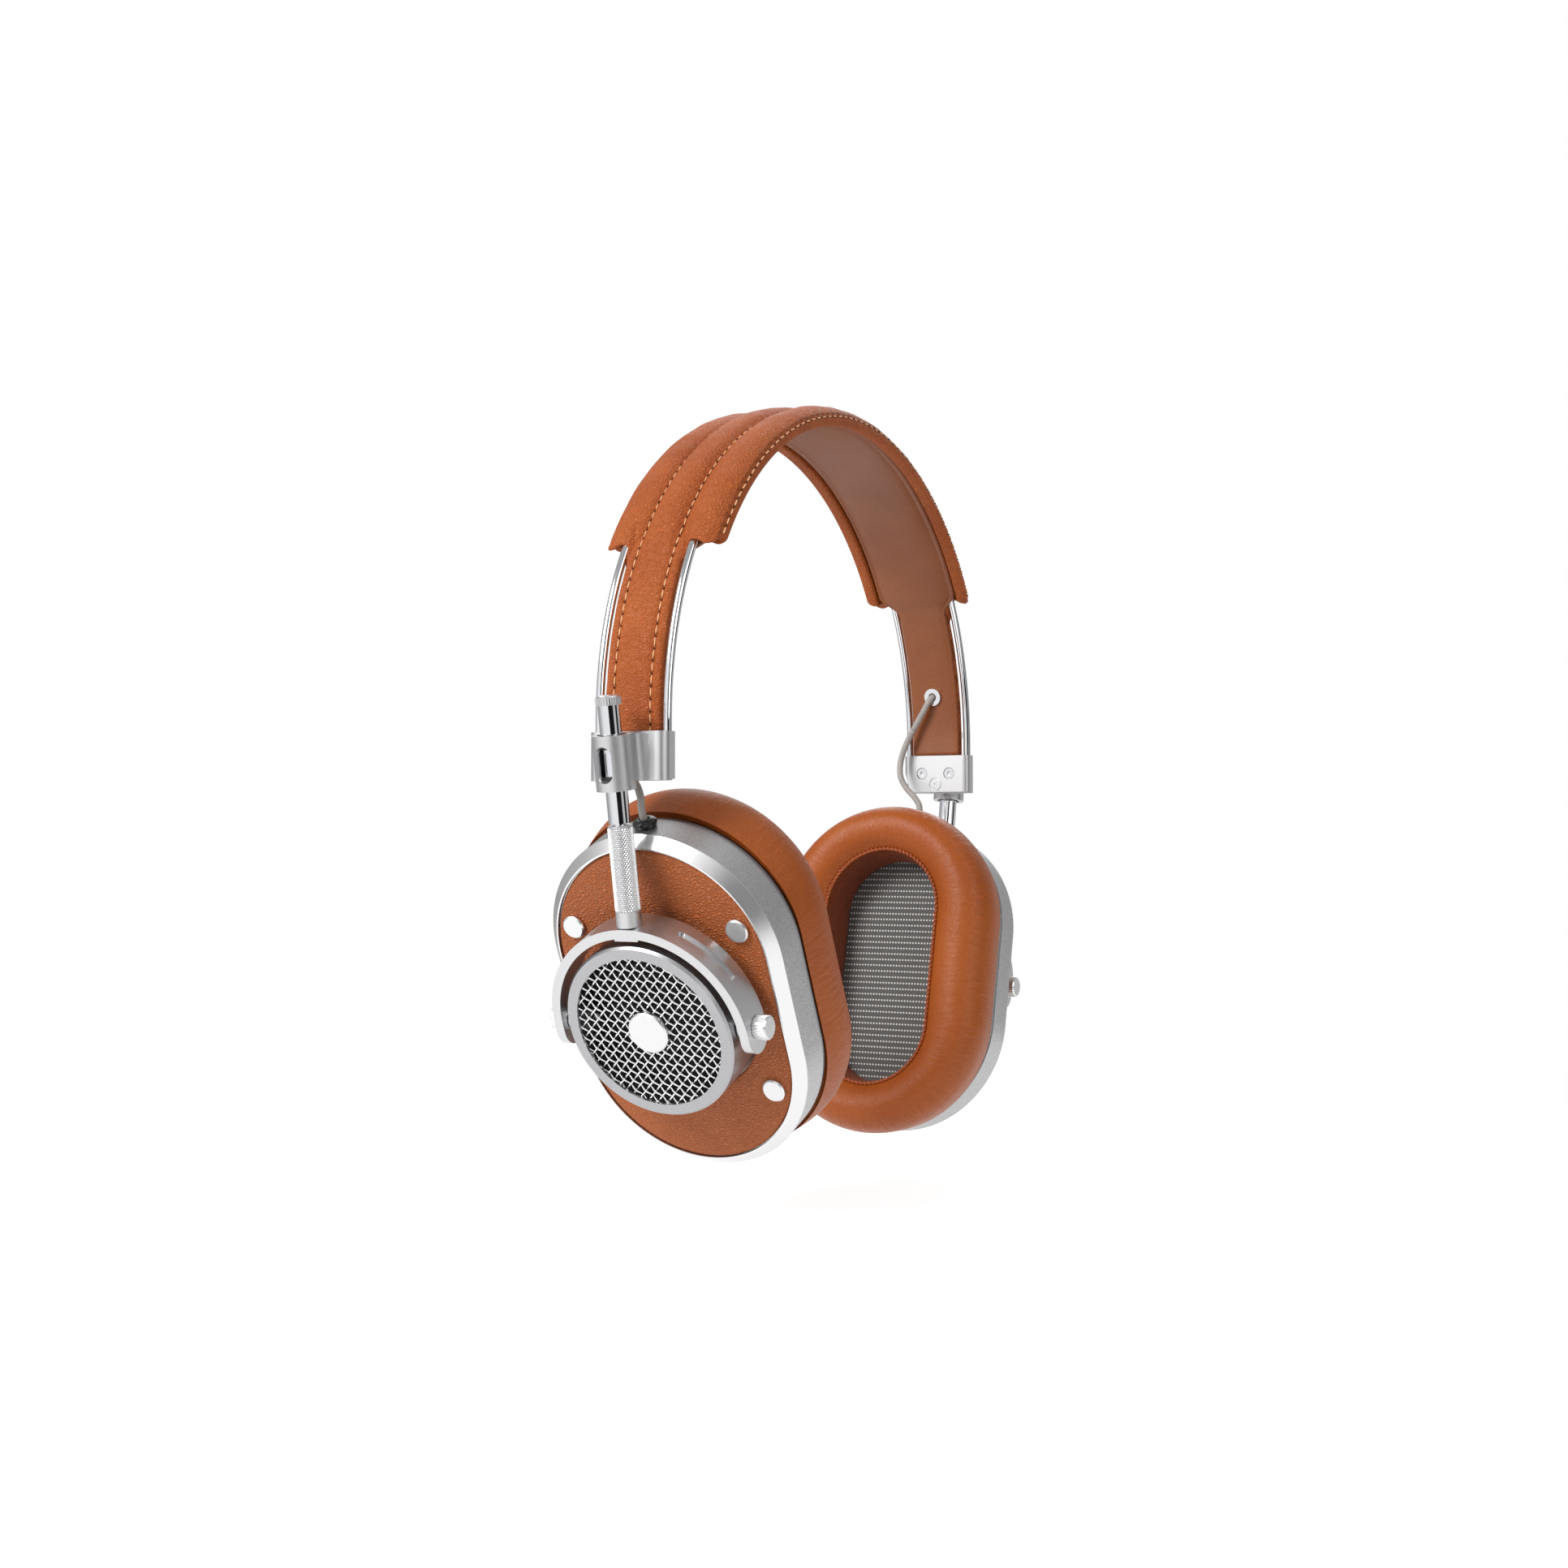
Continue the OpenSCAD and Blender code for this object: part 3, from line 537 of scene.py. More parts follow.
band = {
    "centre": -81.4,        # height of the arch's centre
    "radius": 84.8,         # of the line along which lengths are measured
    "legs": 2.7,            # the strap runs straight down this far below the arch
    "wing": 45.6,           # distance along the arch from its end to the padded stretch
    "ring": 0.5,            # spacing of the rings of points
    "stitchLine": 5.1,      # half the distance between the two middle rows
    "stitchSink": 0.28,     # how deep a needle hole draws the leather in
    "edgeStitch": (15.95, 83.3),    # half width and radius of the edge's row of stitches
    "pitch": 3.0,
    "strapHalf": 7.7,       # half the strap's width
    "corner": 2.6,          # radius of the wing's outer corner, which starts at cornerFrom
    "cornerFrom": 13.8,
    "droop": 1.6,           # the wing's outer corner hangs lower by this much
    "slant": 0.62,          # and its end is level, so its outer skin goes down further
    "fillet": 2.1,          # radius where the strap's edge turns out into the wing
    "edge": 0.6,            # radius of the folded edge at a wing's end
    "strapPlain": [(0, 86.3), (2.6, 86.2), (4.2, 85.95), (5.1, 85.5), (6, 85.75), (6.9, 85.65),
                   (7.55, 85.1), (7.7, 84.4), (7.4, 83.75), (4, 83.63), (0, 83.63)],
    "strapPadded": [(0, 87.05), (2.6, 86.75), (4.2, 85.85), (5.1, 85.0), (6, 84.9), (6.9, 84.6),
                    (7.55, 84.4), (7.7, 84.1), (7.4, 83.75), (4, 83.63), (0, 83.63)],
    "roll": [(5.1, 84.7), (5.8, 85.45), (7.4, 86.15), (9.8, 86.5), (12, 86.2), (13.9, 85.4),
             (15.3, 84.3), (15.95, 83.3), (16.35, 82.4), (16.2, 81.45), (15.5, 80.95), (14.3, 80.9),
             (13.2, 81.2), (12.8, 82.1), (12.7, 83.1), (10, 83.35), (7.2, 83.4), (5.3, 83.7)],
    "rollCore": (10, 84.4),
    "liningWide": [(0, 81.35), (4, 81.37), (8, 81.5), (10.4, 81.8), (11, 82), (11.7, 81.75),
                   (12.3, 81.95), (12.45, 82.4), (12.2, 82.9), (8, 83), (0, 83)],
    "liningNarrow": [(0, 82.28), (3, 82.28), (5.4, 82.32), (6.4, 82.4), (6.7, 82.45), (7, 82.45),
                     (7.3, 82.6), (7.4, 82.9), (7.25, 83.45), (4, 83.58), (0, 83.58)],
}
bandLength = math.pi * band["radius"]


def bandPoint(along, y, reach):
    if along < 0:
        x, z = reach, along
    elif along > bandLength:
        x, z = -reach, bandLength - along
    else:
        angle = along / band["radius"]
        x, z = reach * math.cos(angle), reach * math.sin(angle)
    return Vector((x, y, z + band["centre"])) * mm


def mirroredLoop(half):     # a half section, from the middle out and back, made whole
    other = [(-y, reach) for y, reach in half[-2:0:-1]]
    return half + other


def dip(along, start):      # deepest at the needle holes, which lie between the stitches
    return 0.5 - 0.5 * math.cos(2 * math.pi * (along - start) / band["pitch"])


def fromEnd(along):         # distance to the nearer end of the arch
    return min(along, bandLength - along)


def padding(along):         # 0 on the plain strap, 1 where it is padded between the wings
    return ease(band["wing"] - 9, band["wing"] + 6, fromEnd(along))


def stations(start, step):  # even steps from start to as far before the arch's other end
    length = bandLength - 2 * start
    count = round(length / step)
    return [start + length * i / count for i in range(count + 1)]


def between(first, second, share):      # a whole section, part way from one to the other
    return [(a + (c - a) * share, b + (d - b) * share)
            for (a, b), (c, d) in zip(mirroredLoop(first), mirroredLoop(second))]


def ripple(along, y, size, depth):
    return depth * noise.noise(Vector((along / size, y / size, 0.37)))


def strapLeather():
    rings, lays = [], []
    for along in stations(-band["legs"], band["ring"]):
        section = between(band["strapPlain"], band["strapPadded"], padding(along))
        ring, lay = [], []
        for y, reach in curveThrough(section, 2, closed=True):
            near = math.exp(-((abs(y) - band["stitchLine"]) / 0.8) ** 2)
            if reach > 84:      # the outer skin; the inner one lies elsewhere in the hide
                sink = band["stitchSink"] * near * dip(along, -band["legs"])
                reach += ripple(along, y, 5, 0.16) - sink
            ring.append(bandPoint(along, y, reach))
            lay.append(Vector((along, y + (0 if reach > 84 else 40), 0)) * mm)
        rings.append(ring)
        lays.append(lay)
    return skin("strap", rings, finish["cowhide"], lays)


def rollEnd(y, reach):  # where the roll's leather ends; its outer skin hangs lowest
    level = band["wing"] - band["slant"] * (reach - band["radius"])
    if y <= band["strapHalf"]:
        return level - 6    # hidden under the strap
    inward = max(band["strapHalf"] + 2 - y, 0)
    outward = min(max(y - band["cornerFrom"], 0), band["corner"] - 0.01)
    fillet = band["fillet"] - math.sqrt(band["fillet"] ** 2 - inward ** 2)
    corner = band["corner"] - math.sqrt(band["corner"] ** 2 - outward ** 2)
    return level + 0.3 - fillet - band["droop"] * ease(10.5, 14.5, y) + corner


def sideRoll(sign):
    section = curveThrough(band["roll"], 3, closed=True)
    core, coreEnd = band["rollCore"], band["wing"] + 1
    count = round((bandLength - 2 * band["wing"]) / band["ring"])
    rings, lays = [], []

    def addRing(share, inset, overhang):
        ring, lay = [], []
        for y, reach in section:
            spread = math.hypot(core[0] - y, core[1] - reach)
            toCore = min(inset / spread, 1)
            low = rollEnd(y, reach) - overhang
            low += (coreEnd - low) * toCore ** 2
            along = low + (bandLength - 2 * low) * share
            top = reach > 84
            push = ripple(along, y, 5, 0.2) if top else 0
            if top:
                push -= band["stitchSink"] * dip(along, -band["legs"]) * math.exp(
                    -((y - band["stitchLine"]) / 0.9) ** 2)
                push -= 1.5 * ease(band["wing"] + 4, band["wing"] - 2, fromEnd(along)) \
                    * ease(8.9, 7.5, y)
            edgeDip = math.exp(-(((y - band["edgeStitch"][0]) / 0.8) ** 2
                                 + ((reach - band["edgeStitch"][1]) / 0.9) ** 2))
            width = y - 0.4 * edgeDip * dip(along, band["wing"])
            width += (core[0] - width) * toCore
            radius = reach + push + (core[1] - reach - push) * toCore
            ring.append(bandPoint(along, sign * width, radius))
            lay.append(Vector((along, sign * (y if top else 34 - y), 0)) * mm)
        rings.append(ring)
        lays.append(lay)

    edge = band["edge"]
    quarter = [math.pi / 2 * k / 4 for k in range(4)]
    for inset in (8, 3.5, 1.6):
        addRing(0, inset, edge)
    for angle in quarter:
        addRing(0, edge * (1 - math.sin(angle)), edge * math.cos(angle))
    for i in range(count + 1):
        addRing(i / count, 0, 0)
    for angle in reversed(quarter):
        addRing(1, edge * (1 - math.sin(angle)), edge * math.cos(angle))
    for inset in (1.6, 3.5, 8):
        addRing(1, inset, edge)
    return skin("roll", rings, finish["cowhide"], lays)


def lining():
    rings, lays = [], []
    for along in stations(-band["legs"], 1):
        wide = ease(band["wing"] - 4, band["wing"] + 3, fromEnd(along))
        section = between(band["liningNarrow"], band["liningWide"], wide)
        ring, lay = [], []
        for y, reach in curveThrough(section, 2, closed=True):
            reach += ripple(along, y, 7, 0.06 * wide)
            ring.append(bandPoint(along, y, reach))
            lay.append(Vector((along, y, 0)) * mm)
        rings.append(ring)
        lays.append(lay)
    return skin("band_lining_leather", rings, finish["lining"], lays)


def headband():
    cover = joined("band_cover_leather", [strapLeather(), sideRoll(1), sideRoll(-1)])
    inner = lining()
    for piece, node, slot, fill in ((cover, "band_cover", "cognac_leather", 0.7),
                                    (inner, "band_lining", "lining_leather", 0.5)):
        settle(piece, "headband", node)


headband()
print("headband leather made")


# ear pads

pad = {
    "hole": (16.2, 16.4), "rim": (33.2, 13.8),      # radius and half straight of the two outlines
    "arcSteps": 56, "sideSteps": 22,
    "section": [(0.916, -12.65), (0.93, -13.6), (0.955, -15.4), (1.01, -20), (1.0, -23.2),
                (0.94, -26.2), (0.81, -28.8), (0.63, -29.95), (0.45, -29.8), (0.29, -28.8),
                (0.17, -27.2), (0.1, -25.9), (0.075, -24.6), (0.08, -20), (0.09, -16),
                (0.14, -14.05), (0.4, -14.02), (0.8, -14.02), (0.915, -13.9)],
    "collar": [(0.1, -26.1), (0.06, -26), (0.01, -23.5), (-0.02, -18.5), (-0.01, -14.2),
               (0.03, -13.7), (0.06, -18), (0.08, -23)],
    "seam": (0.085, -26.1), "seamRadius": 0.42,
    "seamPitch": 1.3,
    "layRadius": 30,        # the skin's lay is a ring of this radius, as long as the pad's own
    "simScale": 10, "simSteps": 20,         # the pad is simulated ten times larger
    "swell": 0.8,                           # and no point moves by more than this
    "cloth": {"use_pressure": True, "uniform_pressure_force": 4, "tension_stiffness": 12,
              "compression_stiffness": 12, "bending_stiffness": 0.6},
}


def stadium(radius, half, arcSteps, sideSteps):
    points = []
    for sign in (1, -1):
        for k in range(sideSteps):
            points.append((sign * radius, sign * half * (2 * k / sideSteps - 1)))
        for k in range(arcSteps):
            angle = math.pi * (k / arcSteps + (0 if sign == 1 else 1))
            points.append((radius * math.cos(angle), sign * half + radius * math.sin(angle)))
    return points


def padRing(section, side, name, material, steps=2):
    hole = stadium(*pad["hole"], pad["arcSteps"], pad["sideSteps"])
    rim = stadium(*pad["rim"], pad["arcSteps"], pad["sideSteps"])
    place = cupMatrix(side)
    rings, lays = [], []
    outline = curveThrough(section, steps, closed=True)
    for i, (a, b) in enumerate(zip(hole, rim)):
        angle = 2 * math.pi * i / len(hole)
        ring, lay = [], []
        for share, height in outline:
            x, y = a[0] + (b[0] - a[0]) * share, a[1] + (b[1] - a[1]) * share
            ring.append(place @ (Vector((x, y, height)) * mm))
            around = Vector((math.cos(angle), math.sin(angle), 0)) * pad["layRadius"]
            lay.append((around + Vector((0, 0, 25 * share - height))) * mm)
        rings.append(ring)
        lays.append(lay)
    return skin(name, rings, material, lays, loop=True)


def swell(piece, held):
    # Cloth blown up a little between its held edges; the result is capped and kept
    scale = pad["simScale"]
    rest = [vert.co.copy() for vert in piece.data.vertices]
    body = piece.copy()
    body.data = piece.data.copy()
    body.data.transform(Matrix.Scale(scale, 4))
    scene.collection.objects.link(body)
    group = body.vertex_groups.new(name="held")
    group.add(held, 1, "REPLACE")
    cloth = body.modifiers.new("swell", "CLOTH")
    cloth.settings.vertex_group_mass = "held"
    cloth.settings.effector_weights.gravity = 0
    for setting, value in pad["cloth"].items():
        setattr(cloth.settings, setting, value)
    cloth.point_cache.frame_start = 1
    cloth.point_cache.frame_end = pad["simSteps"]
    for step in range(1, pad["simSteps"] + 1):
        scene.frame_set(step)
    done = body.evaluated_get(bpy.context.evaluated_depsgraph_get()).to_mesh()
    limit = pad["swell"] * mm
    for vert, start, end in zip(piece.data.vertices, rest, done.vertices):
        move = end.co / scale - start
        if move.length > limit:
            move *= limit / move.length
        vert.co = start + move
    bpy.data.objects.remove(body)
    scene.frame_set(1)


def pinch(piece, side):
    # Fine radial puckers where the leather is drawn into the inner seam
    place = cupMatrix(side)
    back = place.inverted()
    turn = place.to_3x3()
    for vert in piece.data.vertices:
        spot = back @ vert.co / mm
        angle = math.atan2(spot.y, spot.x)
        depth = spot.z + 30
        if spot.z < -15:
            fine = noise.noise(Vector((60 * math.cos(angle), 60 * math.sin(angle), spot.z / 9)))
            vert.co += turn @ Vector((0, 0, -0.12 * fine)) * mm * ease(6, 1, depth)


def earPads():
    for side in sides:
        cushion = padRing(pad["section"], side, "ear_pad_leather_" + side, finish["lambskin"])
        outline = curveThrough(pad["section"], 2, closed=True)
        pinned = [j for j, (share, height) in enumerate(outline) if height > -15.2 or share < 0.12]
        held = [i * len(outline) + j for i in range(2 * (pad["arcSteps"] + pad["sideSteps"]))
                for j in pinned]
        swell(cushion, held)
        pinch(cushion, side)
        subdivide(cushion)
        collar = padRing(pad["collar"], side, "pad_collar_" + side, finish["textile"])
        share, height = pad["seam"]
        rolled = [(share + pad["seamRadius"] / 15 * math.cos(k * math.pi / 4),
                   height + pad["seamRadius"] * math.sin(k * math.pi / 4)) for k in range(8)]
        piping = padRing(rolled, side, "pad_piping_" + side, finish["lambskin"], 1)
        settle(cushion, "pad_" + side, "ear_pad_" + side)
        for piece in (collar, piping):
            settle(piece, "pad_" + side)
        print("ear pad made:", side)


earPads()


# speaker cloth and inlay

inlay = {
    "hole": 22.6, "outline": (28.65, 13), "top": -0.16,
    "innerEdge": [(0, -1.28), (0, -0.75), (0.15, -0.35), (0.5, None), (1.2, None)],
    "outerEdge": [(1.6, None), (0.9, -0.2), (0.45, -0.32), (0.14, -0.6), (0, -0.95), (0, -1.28)],
    "rings": 14,            # evenly spaced between the two edges
    "rivet": (22.8, 21.2), "rivetHead": 2.95,
}
speakerCloth = {"outline": (19.6, 16), "height": -12.95, "thickness": 0.4, "sag": 0.5}


def speakerCloths():
    radius, half = speakerCloth["outline"]
    outline = stadium(radius, half, 40, 16)
    shares = [0.02, 0.12, 0.24, 0.36, 0.48, 0.6, 0.72, 0.84, 0.93, 1]
    for side in sides:
        place = cupMatrix(side)
        rings, lays = [], []
        for up, order in ((1, shares), (-1, reversed(shares))):
            for share in order:
                height = speakerCloth["height"] - speakerCloth["sag"] * (1 - share ** 2)
                height += up * speakerCloth["thickness"] / 2
                rings.append([place @ (Vector((x * share, y * share, height)) * mm)
                              for x, y in outline])
                lays.append([Vector((x * share + 50, y * share + 50, 0)) * mm for x, y in outline])
        piece = skin("speaker_cloth_woven_" + side, rings, finish["cloth"], lays)
        settle(piece, "cup_" + side, "speaker_cloth_" + side)


def inlays():
    # Each ring lies a share of the way from the round hole to the outline, and a bit further
    outline = stadium(*inlay["outline"], 48, 24)
    low, high = inlay["innerEdge"][-1][0], inlay["outerEdge"][0][0]
    profile = [(0, past, height) for past, height in inlay["innerEdge"]]
    for k in range(1, inlay["rings"]):
        share = k / inlay["rings"]
        profile.append((share, low - (low + high) * share, None))
    profile += [(1, -past, height) for past, height in inlay["outerEdge"]]
    for side in sides:
        place = cupMatrix(side)
        rings, lays = [], []
        for share, past, height in profile:
            ring, lay = [], []
            for x, y in outline:
                reach = math.hypot(x, y)
                distance = inlay["hole"] + (reach - inlay["hole"]) * share + past
                px, py = x / reach * distance, y / reach * distance
                top = height
                if top is None:     # the hide is drawn down round each rivet's head
                    gap = math.hypot(abs(px) - inlay["rivet"][0], abs(py) - inlay["rivet"][1])
                    top = inlay["top"] - 0.3 * math.exp(-((gap - inlay["rivetHead"]) / 0.9) ** 2)
                ring.append(place @ (Vector((px, py, top)) * mm))
                lay.append(Vector((px, py, 0)) * mm)
            rings.append(ring)
            lays.append(lay)
        piece = skin("inlay_leather_" + side, rings, finish["inlay"], lays, loop=True)
        subdivide(piece)
        settle(piece, "cup_" + side, "inlay_" + side)


speakerCloths()
inlays()
print("speaker cloths and inlays made")


# Geometry Nodes pieces

def newTree(name, inputs):
    tree = bpy.data.node_groups.new(name, "GeometryNodeTree")
    tree.interface.new_socket("Geometry", in_out="INPUT", socket_type="NodeSocketGeometry")
    tree.interface.new_socket("Geometry", in_out="OUTPUT", socket_type="NodeSocketGeometry")
    for label, kind in inputs:
        tree.interface.new_socket(label, in_out="INPUT", socket_type="NodeSocket" + kind)
    source = tree.nodes.new("NodeGroupInput")
    return tree, source.outputs


def finishTree(tree, geometry, material):
    real = addNode(tree, "GeometryNodeRealizeInstances", {"Geometry": geometry})
    coated = addNode(tree, "GeometryNodeSetMaterial", {"Geometry": real, "Material": material})
    addNode(tree, "NodeGroupOutput", {"Geometry": coated})


def grow(name, tree, values, path=()):
    # Runs the tree on a line of points and keeps the result as a plain mesh
    data = bpy.data.meshes.new(name + "_path")
    data.from_pydata([tuple(p) for p in path], [(i, i + 1) for i in range(len(path) - 1)], [])
    seed = bpy.data.objects.new(name + "_path", data)
    scene.collection.objects.link(seed)
    modifier = seed.modifiers.new("grow", "NODES")
    modifier.node_group = tree
    for item in tree.interface.items_tree:
        if item.in_out == "INPUT" and item.name in values:
            modifier[item.identifier] = values[item.name]
    seed.update_tag()
    graph = bpy.context.evaluated_depsgraph_get()
    graph.update()
    mesh = bpy.data.meshes.new_from_object(seed.evaluated_get(graph))
    seed.modifiers.remove(modifier)
    bpy.data.objects.remove(seed)
    mesh.name = name
    piece = bpy.data.objects.new(name, mesh)
    scene.collection.objects.link(piece)
    return piece


def beadTree():
    # Beads along a path: long ones are stitches, short dark ones are painted shade in the needle holes
    tree, given = newTree("beads", (("Pitch", "Float"), ("Length", "Float"), ("Thickness", "Float"),
                          ("Shift", "Float"), ("Lean", "Float"), ("Facing", "Vector"),
                          ("Wobble", "Float"), ("Seed", "Int"), ("Material", "Material")))
    curve = addNode(tree, "GeometryNodeMeshToCurve", {"Mesh": given["Geometry"]})
    spaced = addNode(tree, "GeometryNodeResampleCurve", {"Curve": curve, "Length": given["Pitch"]},
                     mode="LENGTH")
    tangent = addNode(tree, "GeometryNodeInputTangent")
    ahead = addNode(tree, "ShaderNodeVectorMath", {0: tangent, 3: given["Shift"]}, operation="SCALE")
    shifted = addNode(tree, "GeometryNodeSetPosition", {"Geometry": spaced, "Offset": ahead})
    sideways = addNode(tree, "ShaderNodeVectorMath", {0: given["Facing"], 1: tangent},
                       operation="CROSS_PRODUCT")
    leaning = addNode(tree, "ShaderNodeVectorMath", {0: sideways, 3: given["Lean"]}, operation="SCALE")
    aim = addNode(tree, "ShaderNodeVectorMath", {0: tangent, 1: leaning}, operation="ADD")
    chance = addNode(tree, "FunctionNodeRandomValue", {0: (-1, -1, -1), 1: (1, 1, 1),
                      "Seed": given["Seed"]}, data_type="FLOAT_VECTOR")
    drift = addNode(tree, "ShaderNodeVectorMath", {0: chance, 3: given["Wobble"]}, operation="SCALE")
    final = addNode(tree, "ShaderNodeVectorMath", {0: aim, 1: drift}, operation="ADD")
    turn = addNode(tree, "FunctionNodeAlignRotationToVector", {"Vector": final}, axis="X")
    halfLength = addNode(tree, "ShaderNodeMath", {1: 0.5, 0: given["Length"]}, operation="MULTIPLY")
    halfWidth = addNode(tree, "ShaderNodeMath", {1: 0.5, 0: given["Thickness"]}, operation="MULTIPLY")
    size = addNode(tree, "ShaderNodeCombineXYZ", {0: halfLength, 1: halfWidth, 2: halfWidth})
    bead = addNode(tree, "GeometryNodeMeshUVSphere", {"Segments": 8, "Rings": 6, "Radius": 1})
    placed = addNode(tree, "GeometryNodeInstanceOnPoints", {"Points": shifted, "Instance": bead,
                      "Rotation": turn, "Scale": size})
    finishTree(tree, placed, given["Material"])
    return tree


weave = {"radius": 20.3, "pitch": 1.95, "wire": 0.52, "rise": 0.27, "height": 11.15, "steps": 6}


def weaveTree():
    # Crimped wires, one way and then the other, each trimmed to the round opening
    tree, given = newTree("weave", (("Radius", "Float"), ("Pitch", "Float"), ("Wire", "Float"),
                          ("Rise", "Float"), ("Half Count", "Int"), ("Steps", "Int"),
                          ("Material", "Material")))
    double = addNode(tree, "ShaderNodeMath", {1: 2, 2: 1, 0: given["Half Count"]},
                     operation="MULTIPLY_ADD")
    left = addNode(tree, "ShaderNodeMath", {0: given["Half Count"], 1: given["Pitch"]},
                   operation="MULTIPLY")
    begin = addNode(tree, "ShaderNodeMath", {1: -1, 0: left}, operation="MULTIPLY")
    first = addNode(tree, "ShaderNodeCombineXYZ", {0: begin})
    stride = addNode(tree, "ShaderNodeCombineXYZ", {0: given["Pitch"]})
    row = addNode(tree, "GeometryNodeMeshLine", {"Count": double, "Start Location": first,
                   "Offset": stride})
    unit = addNode(tree, "GeometryNodeCurvePrimitiveLine", {"Start": (0, -1, 0), "End": (0, 1, 0)})
    fine = addNode(tree, "GeometryNodeResampleCurve", {"Curve": unit, "Count": given["Steps"]},
                   mode="COUNT")
    wires = addNode(tree, "GeometryNodeInstanceOnPoints", {"Points": row, "Instance": fine})
    loose = addNode(tree, "GeometryNodeRealizeInstances", {"Geometry": wires})
    place = addNode(tree, "GeometryNodeInputPosition")
    parts = addNode(tree, "ShaderNodeSeparateXYZ", {0: place})
    ratio = addNode(tree, "ShaderNodeMath", {0: parts.outputs[0], 1: given["Radius"]},
                    operation="DIVIDE")
    angle = addNode(tree, "ShaderNodeMath", {0: ratio}, operation="ARCSINE")
    cosine = addNode(tree, "ShaderNodeMath", {0: angle}, operation="COSINE")
    chord = addNode(tree, "ShaderNodeMath", {0: cosine, 1: given["Radius"]}, operation="MULTIPLY")
    length = addNode(tree, "ShaderNodeMath", {0: parts.outputs[1], 1: chord}, operation="MULTIPLY")
    both = addNode(tree, "ShaderNodeMath", {0: parts.outputs[0], 1: length}, operation="ADD")
    turns = addNode(tree, "ShaderNodeMath", {0: both, 1: given["Pitch"]}, operation="DIVIDE")
    phase = addNode(tree, "ShaderNodeMath", {1: math.pi, 0: turns}, operation="MULTIPLY")
    wave = addNode(tree, "ShaderNodeMath", {0: phase}, operation="COSINE")
    lift = addNode(tree, "ShaderNodeMath", {0: wave, 1: given["Rise"]}, operation="MULTIPLY")
    spot = addNode(tree, "ShaderNodeCombineXYZ", {0: parts.outputs[0], 1: length, 2: lift})
    crimped = addNode(tree, "GeometryNodeSetPosition", {"Geometry": loose, "Position": spot})
    halfWire = addNode(tree, "ShaderNodeMath", {1: 0.5, 0: given["Wire"]}, operation="MULTIPLY")
    circle = addNode(tree, "GeometryNodeCurvePrimitiveCircle", {"Resolution": 6, "Radius": halfWire})
    drawn = addNode(tree, "GeometryNodeCurveToMesh", {"Fill Caps": True, "Curve": crimped,
                     "Profile Curve": circle})
    crossing = addNode(tree, "GeometryNodeTransform", {"Rotation": (math.pi, 0, math.pi / 2),
                        "Geometry": drawn})
    cloth = addNode(tree, "GeometryNodeJoinGeometry", {"Geometry": drawn})
    tree.links.new(crossing.outputs[0], cloth.inputs["Geometry"])
    turned = addNode(tree, "GeometryNodeTransform", {"Rotation": (0, 0, math.pi / 4),
                      "Geometry": cloth})
    smooth = addNode(tree, "GeometryNodeSetShadeSmooth", {"Geometry": turned})
    finishTree(tree, smooth, given["Material"])
    return tree


def grilles():
    tree = weaveTree()
    halfCount = int(weave["radius"] / weave["pitch"])
    for side in sides:
        piece = grow("grille_weave_" + side, tree, {
            "Radius": weave["radius"] * mm, "Pitch": weave["pitch"] * mm, "Wire": weave["wire"] * mm,
            "Rise": weave["rise"] * mm, "Half Count": halfCount,
            "Steps": 2 * halfCount * weave["steps"], "Material": finish["wire"]})
        piece.data.transform(cupMatrix(side) @ Matrix.Translation((0, 0, weave["height"] * mm)))
        settle(piece, "cup_" + side, "grille_" + side)


knurl = {"core": 2.76, "outer": 3.0, "top": -22.5, "foot": -42.2, "around": 28, "row": 0.46,
         "profile": [(1.5, -22.05), (2.6, -22.05), (2.9, -22.3), (2.9, -22.5), (2.72, -22.6),
                     (2.72, -42.1), (2.95, -42.2), (2.95, -42.3), (1.5, -42.3)]}


